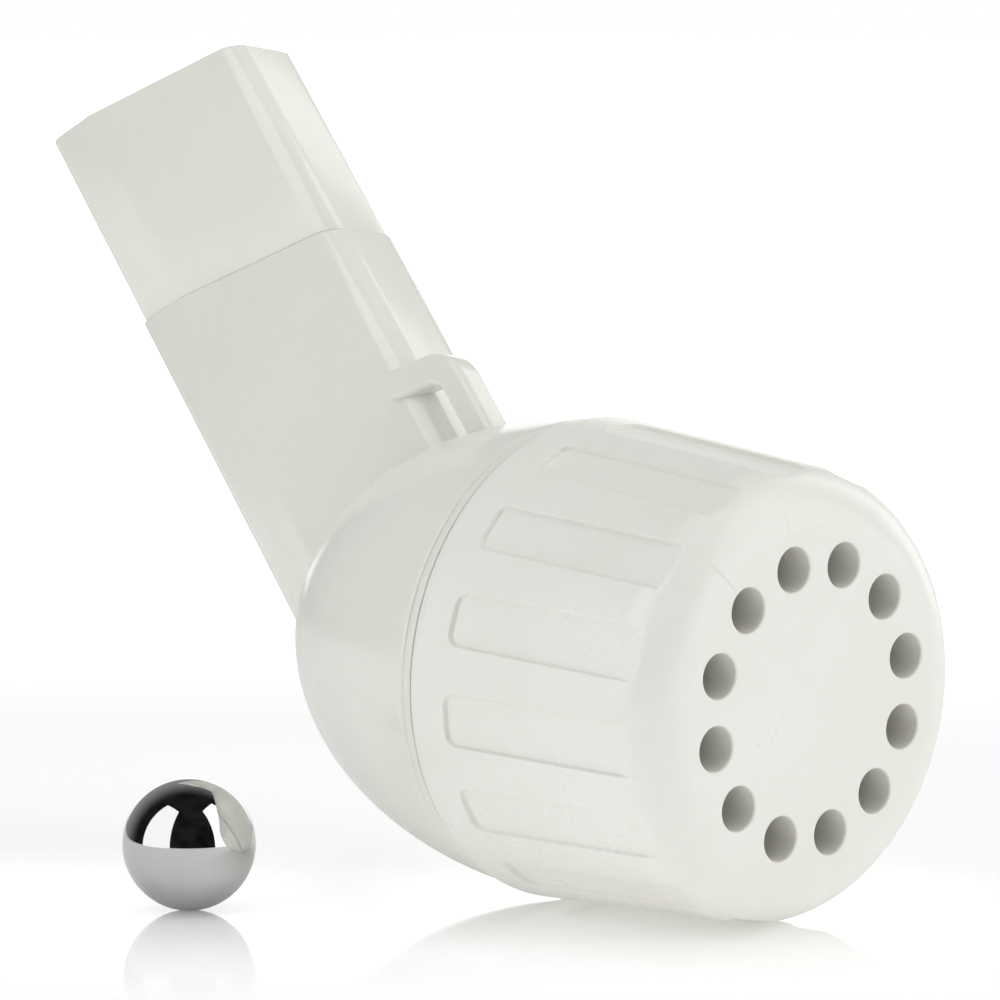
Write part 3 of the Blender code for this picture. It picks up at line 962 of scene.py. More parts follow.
    def sector(self) -> Shape:
        """Build the slice of the cap that holds one grip recess, from the face over the rim into the bore."""
        shape = Shape()
        rows = []
        for radius, depth in self.outside_rows():
            angles = self.column_angles(radius)
            points = []
            for angle in angles:
                floor = (self.taper(depth) - self.grip_depth) / math.cos(angle)
                cut = max(radius - floor, 0.0) * self.recess_share(radius * math.sin(angle), depth)
                reach = radius - cut
                points.append(Vector((reach * math.cos(angle), reach * math.sin(angle), -depth)))
            rows.append(shape.loop(points))
        for radius, depth in self.inside_rows():
            angles = self.column_angles(self.front_radius)
            points = [Vector((radius * math.cos(a), radius * math.sin(a), -depth)) for a in angles]
            rows.append(shape.loop(points))
        shape.bridge_all(rows, closed=False)
        return shape

    def hole_liner(self) -> Shape:
        """Build the wall of one hole, with a rounded front edge and a crisp rear edge."""
        shape = Shape()
        front = self.hole_radius + self.hole_round
        profile = [(front + self.guard, 0.0), (front, 0.0)]
        edge = arc((front, -self.hole_round), self.hole_round, 90.0, 0.0, 5)
        profile += [(2.0 * front - r, z) for r, z in edge[1:]]
        profile += [(self.hole_radius, -self.face_wall), (self.hole_radius + self.guard, -self.face_wall)]
        loops = []
        for radius, height in profile:
            turn = [TAU * step / self.hole_points for step in range(self.hole_points)]
            middle = Vector((self.hole_circle, 0.0, height))
            points = [middle + Vector((radius * math.cos(a), radius * math.sin(a), 0.0)) for a in turn]
            loops.append(shape.loop(points))
        shape.bridge_all(loops)
        return shape

    def build(self, shop: Workshop) -> list[Piece]:
        """Build the cap and its thread, and dress them."""
        finish = CapPlastic(
            name="cap_plastic", light=srgb(233, 233, 227), dark=srgb(229, 228, 221), roughness=0.27,
            grain_height=0.000030, grain_scale=2300.0, patchiness=0.12, wear=0.3,
            head=self.place(), hole_count=self.hole_count, hole_phase=self.hole_phase,
        ).material(shop.kit)
        ring = modifier_result(
            self.sector().build("grip_sector", outwards=False), shop.round_array,
            {"Count": self.grip_count, "Start Angle": self.grip_phase, "Material": finish},
        )
        holes = modifier_result(
            self.hole_liner().build("hole_liner", outwards=False), shop.round_array,
            {"Count": self.hole_count, "Start Angle": self.hole_phase, "Material": finish},
        )
        shape = Shape()
        shape.take(ring)
        shape.take(holes)
        shape.weld()
        shape.fill_level(0.0)
        shape.fill_level(-self.face_wall)
        snug = Matrix.Translation((0.0, 0.0, -self.trim)) @ Matrix.Scale(1.0 - self.trim / self.rim_radius, 4)
        cap = shape.build("screw_cap", self.place() @ snug)
        shade(cap, 62.0)
        shop.dress(cap, finish, Body.CAP, ["perforated_cap"])
        bore = self.rim_radius - self.wall - self.bore_taper
        thread = self.thread.build(
            shop, "cap_thread", ThreadSide.INWARDS, bore, self.thread_rib, self.length - self.thread_back,
            self.length - self.thread_front, math.pi / 2.0, self.place(),
        )
        shade(thread, 40.0)
        shop.dress(thread, finish, Body.CAP)
        return [cap, thread]


@dataclass
class SealRing:
    """The thin ring between the cap's rim and the bowl's shoulder."""

    front: float = 30.22 * MM
    back: float = 31.16 * MM
    inner: float = 19.625 * MM
    outer: float = 23.05 * MM
    edge_round: float = 0.16 * MM
    columns: int = 240

    def build(self, shop: Workshop, place: Matrix) -> Piece:
        """Build the ring and dress it."""
        finish = SatinPlastic(
            name="seal_rubber", light=srgb(228, 228, 222), dark=srgb(221, 221, 214), roughness=0.30,
            grain_height=0.000004, grain_scale=4200.0, patchiness=0.3, wear=0.2,
        ).material(shop.kit)
        soft = self.edge_round
        profile: Profile = []
        for radius, depth, start in (
            (self.outer - soft, self.front + soft, 90.0),
            (self.outer - soft, self.back - soft, 0.0),
            (self.inner + soft, self.back - soft, -90.0),
            (self.inner + soft, self.front + soft, -180.0),
        ):
            profile += arc((radius, -depth), soft, start, start - 90.0, 4)
        shape = Shape()
        shape.turned(profile, self.columns, around=True)
        ring = shape.build("seal_ring_soft", place)
        shade(ring, 60.0)
        shop.dress(ring, finish, Body.SEAL_RING, ["seal_ring"])
        return ring


@dataclass
class StemForm:
    """The flat tube's frame and section, shared by the stem and the mouthpiece."""

    axis_depth: float = 49.5 * MM
    angle: float = math.radians(43.06)
    lean: float = math.radians(8.0)
    cut_slant: float = math.radians(-22.67)
    width: float = 28.8 * MM
    thickness: float = 9.8 * MM
    front_round: float = 2.5 * MM
    back_round: float = 2.3 * MM
    back_taper: float = 7.8 * MM
    back_thickness: float = 6.2 * MM
    taper_round: float = 9.0 * MM
    corner_steps: int = 10

    def place(self) -> Matrix:
        """Return the matrix from the stem frame to the head frame."""
        across = Vector((0.0, math.cos(self.angle), math.sin(self.angle)))
        side = Vector((1.0, 0.0, 0.0))
        along = Vector((0.0, math.sin(self.angle), -math.cos(self.angle)))
        basis = Matrix((across, side, along)).transposed().to_4x4()
        return Matrix.Translation((0.0, 0.0, -self.axis_depth)) @ Matrix.Rotation(-self.lean, 4, "Z") @ basis

    def section(self, inset: float) -> list[tuple[float, float]]:
        """Return the tube's outline: thinner towards its back edge, moved in by an inset."""
        front = self.width / 2.0
        side = self.thickness / 2.0
        knee = self.back_taper - front
        back = self.back_thickness / 2.0
        corners = [
            (front, side, self.front_round),
            (knee, side, self.taper_round),
            (-front, back, self.back_round),
            (-front, -back, self.back_round),
            (knee, -side, self.taper_round),
            (front, -side, self.front_round),
        ]
        return rounded_outline(corners, inset, self.corner_steps)

    def slanted(self, inset: float, height: float, slanted: bool = True) -> list[Vector]:
        """Return the outline as points at a height along the tube, on the slant of its cuts."""
        slope = math.tan(self.cut_slant) if slanted else 0.0
        return [Vector((x, y, height + x * slope)) for x, y in self.section(inset)]


@dataclass
class Housing:
    """The neck, bowl, stem and cord hook, which are one moulding."""

    stem: StemForm
    shoulder: float = 31.3 * MM
    neck_length: float = 11.2 * MM
    neck_radius: float = 18.225 * MM
    neck_wall: float = 1.8 * MM
    neck_round: float = 0.35 * MM
    shoulder_round: float = 0.6 * MM
    bowl_radius: float = 22.95 * MM
    bowl_start: float = 28.5 * MM
    bowl_end: float = 63.2 * MM
    bowl_wall: float = 1.0 * MM
    stem_wall: float = 0.8 * MM
    stem_length: float = 45.7 * MM
    stem_root: float = 4.0 * MM
    stem_end_round: float = 0.14 * MM
    joint_bead: float = 0.19 * MM
    bead_sunk: float = 0.3 * MM
    bead_step: float = 0.45 * MM
    hook_bar: float = 3.1 * MM
    hook_round: float = 0.6 * MM
    hook_reach: float = 4.4 * MM
    hook_height: float = 19.6 * MM
    hook_drop: float = 3.6 * MM
    hook_bend: float = 2.6 * MM
    hook_bend_steps: int = 14
    hook_root: float = 2.3 * MM
    hook_proud: float = 0.75 * MM
    columns: int = 160
    bowl_rows: int = 56
    hollow_rows: int = 28
    hollow_over: float = 2.0 * MM
    channel_over: float = 9.0 * MM
    thread_rib: float = 0.60 * MM
    thread_back: float = 2.6 * MM
    thread_front: float = 1.4 * MM
    thread: Thread = field(default_factory=Thread)

    def bowl_curve(self, radius: float, half_length: float, top: float, count: int) -> Profile:
        """Return the bowl's end curve from a depth down to its tip on the axis."""
        start = math.asin((top - self.bowl_start) / half_length)
        points = []
        for step in range(count + 1):
            angle = start + (math.pi / 2.0 - start) * step / count
            points.append((radius * math.cos(angle), -(self.bowl_start + half_length * math.sin(angle))))
        points[-1] = (0.0, points[-1][1])
        return points

    def outside(self) -> Shape:
        """Build the outside of the neck and bowl as a solid."""
        top = self.shoulder - self.neck_length
        flare = self.shoulder + self.shoulder_round
        curve = self.bowl_curve(self.bowl_radius, self.bowl_end - self.bowl_start, flare, self.bowl_rows)
        profile: Profile = [(0.0, -top), (self.neck_radius - self.neck_round, -top)]
        edge = (self.neck_radius - self.neck_round, -(top + self.neck_round))
        profile += arc(edge, self.neck_round, 90.0, 0.0, 4)[1:]
        profile.append((self.neck_radius, -self.shoulder))
        rim = curve[0][0] - self.shoulder_round
        profile += arc((rim, -flare), self.shoulder_round, 90.0, 0.0, 6)[:-1]
        profile += curve
        shape = Shape()
        shape.turned(profile, self.columns)
        return shape

    def hollow(self) -> Shape:
        """Build the space inside the neck and bowl."""
        top = self.shoulder - self.neck_length
        bore = self.neck_radius - self.neck_wall
        radius = self.bowl_radius - self.bowl_wall
        half = self.bowl_end - self.bowl_start - self.bowl_wall
        bore_end = self.bowl_start + half * math.sqrt(1.0 - (bore / radius) ** 2)
        over = top - self.hollow_over
        profile: Profile = [(0.0, -over), (bore, -over)]
        profile += self.bowl_curve(radius, half, bore_end, self.hollow_rows)
        shape = Shape()
        shape.turned(profile, self.columns)
        return shape

    def stem_solid(self) -> Shape:
        """Build the stem's outside, with a barely rounded edge at the step line."""
        shape = Shape()
        soft = self.stem_end_round
        loops = [shape.loop(self.stem.slanted(0.0, -self.stem_root, False))]
        for inset, drop in ((0.0, soft), (0.3 * soft, 0.3 * soft), (soft, 0.0)):
            loops.append(shape.loop(self.stem.slanted(inset, self.stem_length - drop)))
        shape.bridge_all(loops)
        shape.close(loops[0])
        shape.close(loops[-1])
        return shape

    def channel(self) -> Shape:
        """Build the air channel inside the stem."""
        shape = Shape()
        low = shape.loop(self.stem.slanted(self.stem_wall, -0.4 * self.stem_root, False))
        high = shape.loop(self.stem.slanted(self.stem_wall, self.stem_length + self.channel_over))
        shape.bridge(low, high)
        shape.close(low)
        shape.close(high)
        return shape

    def hook_path(self) -> list[Vector]:
        """Return the hook's centre line in the stem frame, from inside the stem to inside the bowl."""
        side = -(self.stem.thickness / 2.0 + self.hook_proud - self.hook_bar / 2.0)
        wall = self.stem.width / 2.0
        outer = wall + self.hook_reach
        slope = math.tan(self.stem.cut_slant)
        corner = Vector((outer, side, self.hook_height + self.hook_reach * slope))
        start = Vector((wall - self.hook_root, side, self.hook_height - self.hook_root * slope))
        foot = Vector((outer, side, self.hook_drop))
        bend_start = corner + (start - corner).normalized() * self.hook_bend
        bend_end = corner + (foot - corner).normalized() * self.hook_bend
        points = [start]
        for step in range(self.hook_bend_steps + 1):
            share = step / self.hook_bend_steps
            points.append(bend_start.lerp(corner, share).lerp(corner.lerp(bend_end, share), share))
        points.append(foot)
        return points

    def hook(self) -> Shape:
        """Build the hook's bar."""
        half = self.hook_bar / 2.0
        corners = [(half, half), (-half, half), (-half, -half), (half, -half)]
        outline = rounded_outline([(x, y, self.hook_round) for x, y in corners], 0.0, 6)
        shape = Shape()
        sweep(shape, self.hook_path(), outline)
        return shape

    def joint_line(self) -> Shape:
        """Build the fine raised bead along the line where the stem leaves the bowl."""
        frame_in = self.stem.place()
        along = (frame_in.to_3x3() @ Vector((0.0, 0.0, 1.0))).normalized()
        outline = self.dense_outline()
        half = self.bowl_end - self.bowl_start
        centre = Vector((0.0, 0.0, -self.bowl_start))
        scale = Vector((1.0 / self.bowl_radius, 1.0 / self.bowl_radius, 1.0 / half))
        shape = Shape()
        runs: list[list] = [[]]
        for x, y, normal_x, normal_y in outline:
            start = frame_in @ Vector((x, y, 0.0)) - centre
            flat_start = start * scale
            flat_along = along * scale
            a = flat_along.dot(flat_along)
            b = 2.0 * flat_start.dot(flat_along)
            c = flat_start.dot(flat_start) - 1.0
            inside = b * b - 4.0 * a * c
            if inside <= 0.0:
                runs.append([])
                continue
            hit = start + along * ((-b + math.sqrt(inside)) / (2.0 * a))
            bowl_normal = (hit * scale * scale).normalized()
            stem_normal = (frame_in.to_3x3() @ Vector((normal_x, normal_y, 0.0))).normalized()
            runs[-1].append((hit + centre, stem_normal, bowl_normal))
        if len(runs) > 1:
            runs[0] = runs.pop() + runs[0]
        for run in runs:
            if len(run) < 3:
                continue
            loops = [shape.loop(self.bead_section(*spot)) for spot in run]
            shape.bridge_all(loops, around=len(runs) == 1)
            if len(runs) > 1:
                shape.close(loops[0])
                shape.close(loops[-1])
        return shape

    def dense_outline(self) -> list[tuple[float, float, float, float]]:
        """Return the stem's outline at even steps, with each point's outward direction."""
        corners = [Vector(point) for point in self.stem.section(0.0)]
        dense = []
        for first, second in zip(corners, corners[1:] + corners[:1]):
            length = (second - first).length
            if length < 1e-9:
                continue
            steps = max(int(length / self.bead_step), 1)
            normal = Vector((second.y - first.y, first.x - second.x)).normalized()
            for step in range(steps):
                point = first.lerp(second, (step + 0.5) / steps)
                dense.append((point.x, point.y, normal.x, normal.y))
        return dense

    def bead_section(self, spot: Vector, first: Vector, second: Vector) -> list[Vector]:
        """Return the bead's closed section at one spot of the joint line.

        Args:
            spot: The point on both surfaces.
            first: The stem's outward direction there.
            second: The bowl's outward direction there.

        Returns:
            A round that stands out between the two surfaces, and a corner sunk under them.
        """
        points = []
        for step in range(9):
            direction = second.lerp(first, (step - 1.0) / 6.0).normalized()
            points.append(spot + direction * self.joint_bead)
        points.append(spot - (first + second).normalized() * self.bead_sunk)
        return points

    def build(self, shop: Workshop, place: Matrix) -> list[Piece]:
        """Build the moulding and its thread, and dress them."""
        finish = SatinPlastic(
            name="housing_plastic", light=srgb(229, 229, 222), dark=srgb(224, 224, 216), roughness=0.13,
            grain_height=0.000004, grain_scale=3600.0, patchiness=0.7, wear=0.45,
        ).material(shop.kit)
        inward = self.stem.place()
        body = self.outside().build("neck_and_bowl")
        steps = [
            (self.stem_solid().build("add_stem", inward), "UNION"),
            (self.hook().build("add_hook", inward), "UNION"),
            (self.hollow().build("cut_hollow"), "DIFFERENCE"),
            (self.channel().build("cut_channel", inward), "DIFFERENCE"),
        ]
        for other, operation in steps:
            boolean = body.modifiers.new(other.name, "BOOLEAN")
            boolean.solver = "EXACT"
            boolean.operation = operation
            boolean.object = other
        shape = Shape()
        shape.take(settled_mesh(body))
        for other, _ in steps:
            bpy.data.objects.remove(other, do_unlink=True)
        housing = shape.build("bowl_and_stem", place, outwards=False)
        shade(housing, 28.0)
        shop.dress(housing, finish, Body.HOUSING, ["stem_housing"])
        bead = self.joint_line().build("joint_bead", place)
        shade(bead, 60.0)
        shop.dress(bead, finish, Body.HOUSING)
        top = self.shoulder - self.neck_length
        thread = self.thread.build(
            shop, "neck_thread", ThreadSide.OUTWARDS, self.neck_radius, self.thread_rib,
            self.shoulder - self.thread_back, top + self.thread_front, 0.0, place,
        )
        shade(thread, 40.0)
        shop.dress(thread, finish, Body.HOUSING)
        return [housing, bead, thread]


@dataclass
class Mouthpiece:
    """The slanted end piece whose spigot pushes into the stem."""

    stem: StemForm
    stem_length: float = 45.7 * MM
    stem_wall: float = 0.8 * MM
    seam: float = 0.10 * MM
    top: float = 71.0 * MM
    step: float = 0.3 * MM
    wall: float = 0.9 * MM
    lip_round: float = 0.35 * MM
    spigot_length: float = 8.0 * MM
    spigot_wall: float = 0.7 * MM
    spigot_gap: float = 0.3 * MM
    spigot_ease: float = 0.2 * MM
    spigot_lead: float = 0.3 * MM
    bore_step_top: float = 2.6 * MM
    bore_step_low: float = 1.4 * MM
    base_round: float = 0.12 * MM
    inner_round: float = 0.25 * MM

    def build(self, shop: Workshop, place: Matrix) -> Piece:
        """Build the mouthpiece and dress it."""
        finish = SatinPlastic(
            name="mouthpiece_plastic", light=srgb(228, 228, 221), dark=srgb(223, 223, 215), roughness=0.16,
            grain_height=0.000004, grain_scale=3600.0, patchiness=0.7, wear=0.45,
        ).material(shop.kit)
        low = self.stem_length + self.seam
        spigot = self.stem_wall + self.spigot_gap
        bore = spigot + self.spigot_wall
        foot = self.stem_length - self.spigot_length
        rows = [
            (bore, foot),
            (spigot + self.spigot_ease, foot),
            (spigot, foot + self.spigot_lead),
            (spigot, low),
            (self.step + self.base_round, low),
            (self.step + 0.3 * self.base_round, low + 0.3 * self.base_round),
            (self.step, low + self.base_round),
        ]
        rows += self.lip(6)
        inner = self.step + self.wall
        rows += [
            (inner - self.inner_round, self.top),
            (inner - 0.28 * self.inner_round, self.top - 0.28 * self.inner_round),
            (inner, self.top - self.inner_round),
        ]
        rows += [(inner, low + self.bore_step_top), (bore, low + self.bore_step_low)]
        shape = Shape()
        loops = [shape.loop(self.stem.slanted(inset, height)) for inset, height in rows]
        shape.bridge_all(loops, around=True)
        mouth = shape.build("slanted_mouthpiece", place @ self.stem.place())
        shade(mouth, 40.0)
        shop.dress(mouth, finish, Body.MOUTHPIECE, ["mouthpiece"])
        return mouth

    def lip(self, count: int) -> Profile:
        """Return inset and height of the rounded outer edge at the lips, in a number of steps."""
        points = []
        for step in range(count + 1):
            angle = math.radians(90.0 * step / count)
            inset = self.step + self.lip_round * (1.0 - math.cos(angle))
            points.append((inset, self.top - self.lip_round * (1.0 - math.sin(angle))))
        return points


@dataclass
class ValveCone:
    """The funnel inside the neck that the ball seats in."""

    throat: float = 4.6 * MM
    half_angle: float = math.radians(30.0)
    wall: float = 1.6 * MM
    seat_depth: float = 35.955 * MM
    tube_length: float = 5.0 * MM
    flange: float = 1.2 * MM
    flange_radius: float = 17.925 * MM
    flange_back: float = 19.8 * MM
    edge_round: float = 0.3 * MM
    throat_ease: float = 0.4 * MM
    throat_flare: float = 0.3 * MM
    columns: int = 144

    def build(self, shop: Workshop, place: Matrix) -> Piece:
        """Build the cone and dress it."""
        finish = SatinPlastic(
            name="cone_plastic", light=srgb(222, 223, 218), dark=srgb(215, 216, 211), roughness=0.30,
            grain_height=0.000003, grain_scale=4000.0, patchiness=0.5, wear=0.2,
        ).material(shop.kit)
        slope = math.tan(self.half_angle)
        skin = self.wall / math.cos(self.half_angle)
        front = self.flange_back - self.flange
        mouth = self.throat + (self.seat_depth - front) * slope
        under = self.throat + (self.seat_depth - self.flange_back) * slope + skin
        tube = self.throat + self.wall
        bend = self.seat_depth + (skin - self.wall) / slope
        end = self.seat_depth + self.tube_length
        soft = self.edge_round
        profile: Profile = [(mouth, -front)]
        profile += arc((self.flange_radius - soft, -(front + soft)), soft, 90.0, 0.0, 4)
        profile += arc((self.flange_radius - soft, -(self.flange_back - soft)), soft, 0.0, -90.0, 4)
        profile += [(under, -self.flange_back), (tube, -bend), (tube, -(end - soft)), (tube - soft, -end)]
        profile += [
            (self.throat, -end),
            (self.throat, -(self.seat_depth + self.throat_ease)),
            (self.throat + self.throat_flare, -(self.seat_depth - self.throat_ease)),
        ]
        shape = Shape()
        shape.turned(profile, self.columns, around=True)
        cone = shape.build("valve_funnel", place)
        shade(cone, 40.0)
        shop.dress(cone, finish, Body.HOUSING, ["valve_cone"])
        return cone


@dataclass
class SteelBall:
    """The loose steel ball, standing on the table."""

    radius: float = 6.35 * MM
    from_face_x: float = -33.0 * MM
    from_face_y: float = 50.2 * MM
    segments: int = 160
    rings: int = 96

    def centre(self, place: Matrix) -> Vector:
        """Return the ball's centre on the table."""
        face = place.translation
        return Vector((face.x + self.from_face_x, face.y + self.from_face_y, self.radius))

    def build(self, shop: Workshop, place: Matrix) -> Piece:
        """Build the ball and dress it."""
        shape = Shape()
        bmesh.ops.create_uvsphere(
            shape.mesh, u_segments=self.segments, v_segments=self.rings, radius=self.radius
        )
        ball = shape.build("polished_ball", Matrix.Translation(self.centre(place)))
        ball.data.shade_smooth()
        shop.dress(ball, PolishedSteel().material(shop.kit), Body.BALL, ["steel_ball"])
        return ball


# Floor, light and camera


def bearing_direction(camera_azimuth: float, bearing: float, elevation: float) -> Vector:
    """Return a direction from the object, given in degrees from the camera's side and above the table."""
    azimuth = math.radians(camera_azimuth + bearing)
    rise = math.radians(elevation)
    return Vector((math.sin(azimuth) * math.cos(rise), -math.cos(azimuth) * math.cos(rise), math.sin(rise)))


def area_lamp(name: str, size: tuple[float, float], radiance: float, place: Matrix) -> Piece:
    """Build a flat lamp that the camera doesn't see.

    Args:
        name: The lamp's name.
        size: Its width and height.
        radiance: How bright its face is, where 1 is paper white.
        place: Where it stands, with its face along -Z.

    Returns:
        The lamp object.
    """
    lamp = bpy.data.lights.new(name, "AREA")
    lamp.shape = "RECTANGLE"
    lamp.size, lamp.size_y = size
    lamp.energy = radiance * math.pi * size[0] * size[1]
    made = bpy.data.objects.new(name, lamp)
    bpy.context.scene.collection.objects.link(made)
    made.matrix_world = place
    made.visible_camera = False
    return made


@dataclass
class Softbox:
    """A large soft lamp standing upright on the floor.

    Attributes:
        name: The lamp's name.
        bearing: Its direction round the object, in degrees from the camera, positive to the right.
        distance: How far away it stands.
        size: Its width and height.
        radiance: How bright its face is, where 1 is paper white.
    """

    name: str
    bearing: float
    distance: float
    size: tuple[float, float]
    radiance: float

    def build(self, camera_azimuth: float) -> Piece:
        """Build the lamp, facing the object."""
        away = bearing_direction(camera_azimuth, self.bearing, 0.0)
        centre = away * self.distance + Vector((0.0, 0.0, self.size[1] / 2.0))
        place = Matrix.Translation(centre) @ away.to_track_quat("Z", "Y").to_matrix().to_4x4()
        return area_lamp(self.name, self.size, self.radiance, place)


@dataclass
class DarkRoom:
    """The dim room that polished surfaces mirror, with a white backdrop behind the object."""

    radius: float = 1.6
    glow: float = 0.012
    haze: float = 0.30
    backdrop: float = 1.0

    def build(self, camera_azimuth: float) -> Piece:
        """Build the dome, seen in reflections only."""
        shape = Shape()
        bmesh.ops.create_uvsphere(shape.mesh, u_segments=48, v_segments=36, radius=self.radius)
        below = [face for face in shape.mesh.faces if face.calc_center_median().z < 0.0]
        bmesh.ops.delete(shape.mesh, geom=below, context="FACES")
        dome = shape.build("dark_room", outwards=False)
        made, nodes, shader = blank_material("dark_room")
        place = nodes.add("ShaderNodeTexCoord").outputs["Object"]
        behind = tuple(bearing_direction(camera_azimuth, 180.0, 0.0) / self.radius)
        facing = nodes.vector("DOT_PRODUCT", place, behind)
        glow = nodes.ramp(nodes.noise(place, 1.4), 0.3, 0.7, 0.5 * self.glow, 1.5 * self.glow)
        haze = nodes.ramp(facing, 0.15, 0.92, 0.0, self.haze)
        paper = nodes.ramp(facing, 0.90, 0.94, 0.0, self.backdrop)
        light = nodes.plus(nodes.plus(glow, haze), paper)
        shader.inputs["Base Color"].default_value = (0.0, 0.0, 0.0, 1.0)
        shader.inputs["Specular IOR Level"].default_value = 0.0
        shader.inputs["Emission Color"].default_value = (1.0, 1.0, 1.0, 1.0)
        nodes.link(light, shader.inputs["Emission Strength"])
        dome.data.materials.append(made)
        dome.visible_camera = False
        dome.visible_diffuse = False
        dome.visible_transmission = False
        dome.visible_shadow = False
        return dome


@dataclass
class Studio:
    """The pale floor, the soft lamps, the white surroundings and the camera."""

    camera_azimuth: float = -44.278
    camera_elevation: float = 4.816
    camera_distance: float = 626.8 * MM
    lens: float = 242.519
    shift_right: float = -29.1 * MM
    shift_up: float = 18.8 * MM
    floor_size: float = 8.0
    ambient: float = 0.28
    floor_lift: float = 0.32
    floor_bounce: float = 0.12
    floor_dim: float = 0.22
    white_from: float = 0.12
    white_by: float = 0.45
    far_white: float = 0.9
    cap_polish: float = 0.70
    ball_polish: float = 0.50
    overhead_size: float = 0.70
    overhead_height: float = 0.78
    overhead_radiance: float = 1.32
    cap_foot: tuple[float, float, float] = (8.0 * MM, -48.6 * MM, -24.3 * MM)
    ball_foot: tuple[float, float, float] = (-25.0 * MM, -5.4 * MM, 0.0)
    cap_fade: float = 48.0 * MM
    ball_fade: float = 60.0 * MM

    def floor(self) -> Piece:
        """Build the pale, slightly polished floor."""
        shape = Shape()
        half = self.floor_size / 2.0
        corners = ((-half, -half), (half, -half), (half, half), (-half, half))
        shape.close(shape.loop(Vector((x, y, 0.0)) for x, y in corners))
        floor = shape.build("pale_floor", outwards=False)
        made, nodes, shader = blank_material("pale_floor")
        place = nodes.add("ShaderNodeTexCoord").outputs["Object"]
        path = nodes.add("ShaderNodeLightPath")
        near = nodes.times(self.polished_share(nodes, place), path.outputs["Is Camera Ray"])
        tone = nodes.blend(nodes.noise(place, 3.0), (0.72, 0.72, 0.72, 1.0), (0.70, 0.70, 0.705, 1.0))
        tone = nodes.blend(near, tone, (1.0, 1.0, 1.0, 1.0))
        nodes.link(tone, shader.inputs["Base Color"])
        bounce = nodes.times(path.outputs["Is Diffuse Ray"], self.floor_bounce)
        lift = nodes.times(nodes.minus(1.0, near), self.floor_lift)
        lift = nodes.plus(lift, bounce)
        mirrored = nodes.times(path.outputs["Is Glossy Ray"], self.floor_dim)
        lift = nodes.minus(lift, mirrored)
        away = nodes.ramp(nodes.vector("DISTANCE", place, (0.0, 0.0, 0.0)), self.white_from, self.white_by)
        white = nodes.times(away, path.outputs["Is Camera Ray"])
        lift = nodes.plus(lift, nodes.times(white, self.far_white))
        nodes.link(lift, shader.inputs["Emission Strength"])
        nodes.link(near, shader.inputs["Metallic"])
        shader.inputs["Emission Color"].default_value = (1.0, 1.0, 1.0, 1.0)
        shader.inputs["Roughness"].default_value = 0.05
        shader.inputs["Specular IOR Level"].default_value = 0.0
        floor.data.materials.append(made)
        return floor

    def polished_share(self, nodes: Nodes, place: object) -> object:
        """Return how strongly the floor mirrors, which is most at the foot of the cap and of the ball.

        Args:
            nodes: The floor material's nodes.
            place: The floor's own coordinates.
        """
        parts = nodes.add("ShaderNodeSeparateXYZ")
        nodes.link(place, parts.inputs[0])
        along = nodes.math("MAXIMUM", parts.outputs["Y"], self.cap_foot[1])
        along = nodes.math("MINIMUM", along, self.cap_foot[2])
        foot = nodes.add("ShaderNodeCombineXYZ")
        foot.inputs["X"].default_value = self.cap_foot[0]
        nodes.link(along, foot.inputs["Y"])
        cap = nodes.vector("DISTANCE", place, foot.outputs[0])
        ball = nodes.vector("DISTANCE", place, self.ball_foot)
        cap_share = nodes.ramp(cap, 0.0, self.cap_fade, self.cap_polish, 0.0)
        ball_share = nodes.ramp(ball, 0.0, self.ball_fade, self.ball_polish, 0.0)
        return nodes.math("MAXIMUM", cap_share, ball_share)

    def overhead(self) -> Piece:
        """Build the soft fill light above, which polished surfaces don't mirror."""
        place = Matrix.Translation((0.0, 0.0, self.overhead_height))
        size = (self.overhead_size, self.overhead_size)
        made = area_lamp("overhead_fill", size, self.overhead_radiance, place)
        made.visible_glossy = False
        return made

    def surroundings(self) -> None:
        """Build the world: white where it is seen or mirrored, and a softer fill on the object."""
        world = bpy.data.worlds.new("studio")
        bpy.context.scene.world = world
        world.use_nodes = True
        nodes = Nodes(world.node_tree)
        back = world.node_tree.nodes["Background"]
        path = nodes.add("ShaderNodeLightPath")
        seen = nodes.math("MAXIMUM", path.outputs["Is Camera Ray"], path.outputs["Is Glossy Ray"])
        seen = nodes.math("MAXIMUM", seen, path.outputs["Is Transmission Ray"])
        strength = nodes.ramp(seen, 0.0, 1.0, self.ambient, 1.0)
        back.inputs["Color"].default_value = (1.0, 1.0, 1.0, 1.0)
        nodes.link(strength, back.inputs["Strength"])

    def camera(self, face: Vector) -> None:
        """Stand the camera at the photograph's viewing angle.

        Args:
            face: The centre of the cap's face, which the camera's place is given from.
        """
        azimuth = math.radians(self.camera_azimuth)
        back = bearing_direction(self.camera_azimuth, 0.0, self.camera_elevation)
        right = Vector((math.cos(azimuth), math.sin(azimuth), 0.0))
        up = back.cross(right)
        data = bpy.data.cameras.new("camera")
        data.lens = self.lens
        data.sensor_width = 36.0
        data.clip_start = 0.01
        data.clip_end = 50.0
        made = bpy.data.objects.new("camera", data)
        bpy.context.scene.collection.objects.link(made)
        turned = Matrix((right, up, back)).transposed().to_4x4()
        spot = face + back * self.camera_distance + right * self.shift_right + up * self.shift_up
        made.matrix_world = Matrix.Translation(spot) @ turned
        bpy.context.scene.camera = made

    def build(self, face: Vector) -> None:
        """Build the whole studio."""
        self.floor()
        self.surroundings()
        lamps = [
            Softbox("left_softbox", -57.0, 0.62, (0.60, 1.25), 1.34),
            Softbox("right_softbox", 72.0, 0.62, (0.60, 1.25), 1.50),
            Softbox("rear_softbox", 131.0, 0.80, (0.35, 1.10), 1.30),
        ]
        for lamp in lamps:
            lamp.build(self.camera_azimuth)
        self.overhead()
        DarkRoom().build(self.camera_azimuth)
        self.camera(face)
        bpy.context.scene.view_settings.view_transform = "Standard"


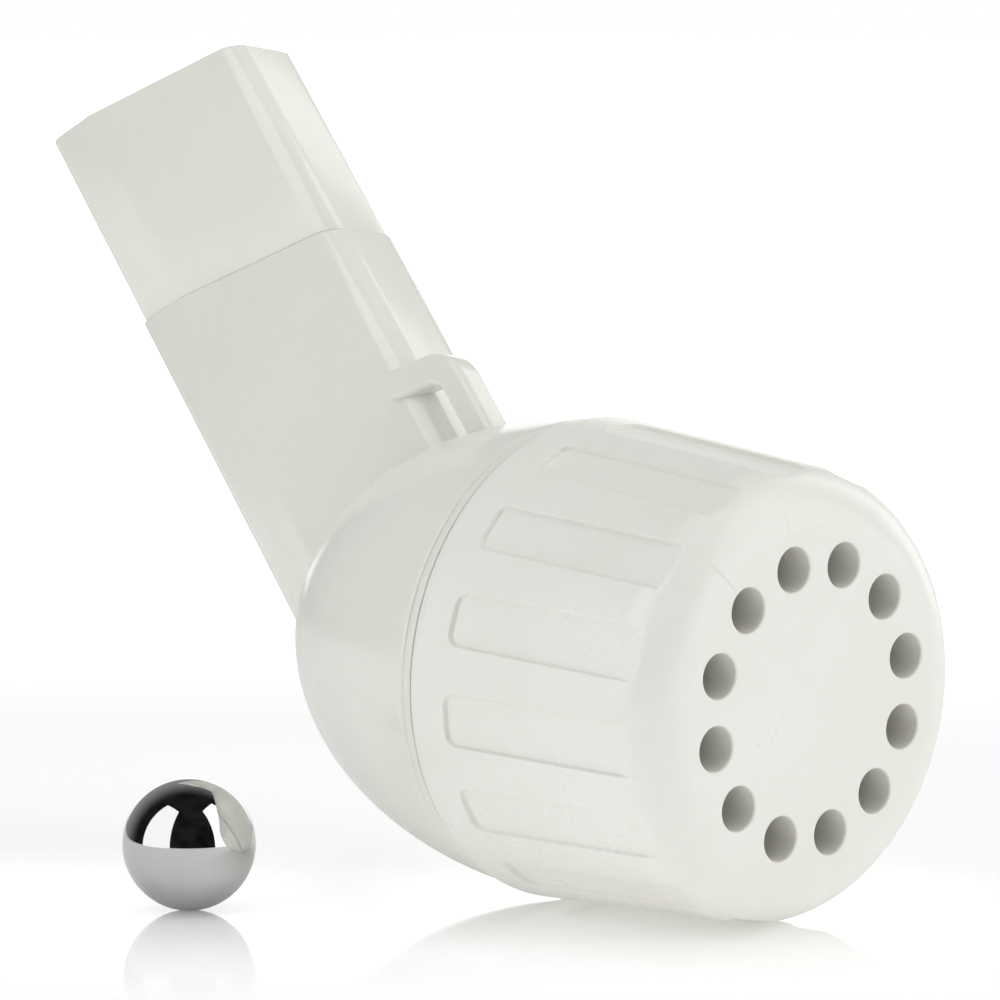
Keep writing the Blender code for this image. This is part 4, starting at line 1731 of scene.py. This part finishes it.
def main() -> None:
    """Build every piece, the studio and the camera."""
    logging.basicConfig(level=logging.INFO, format="%(name)s %(message)s")
    shop = Workshop()
    cap = PerforatedCap()
    place = cap.place()
    stem = StemForm()
    cap.build(shop)
    SealRing().build(shop, place)
    Housing(stem).build(shop, place)
    Mouthpiece(stem).build(shop, place)
    ValveCone().build(shop, place)
    SteelBall().build(shop, place)
    Studio().build(place.translation)


if __name__ == "__main__":
    main()
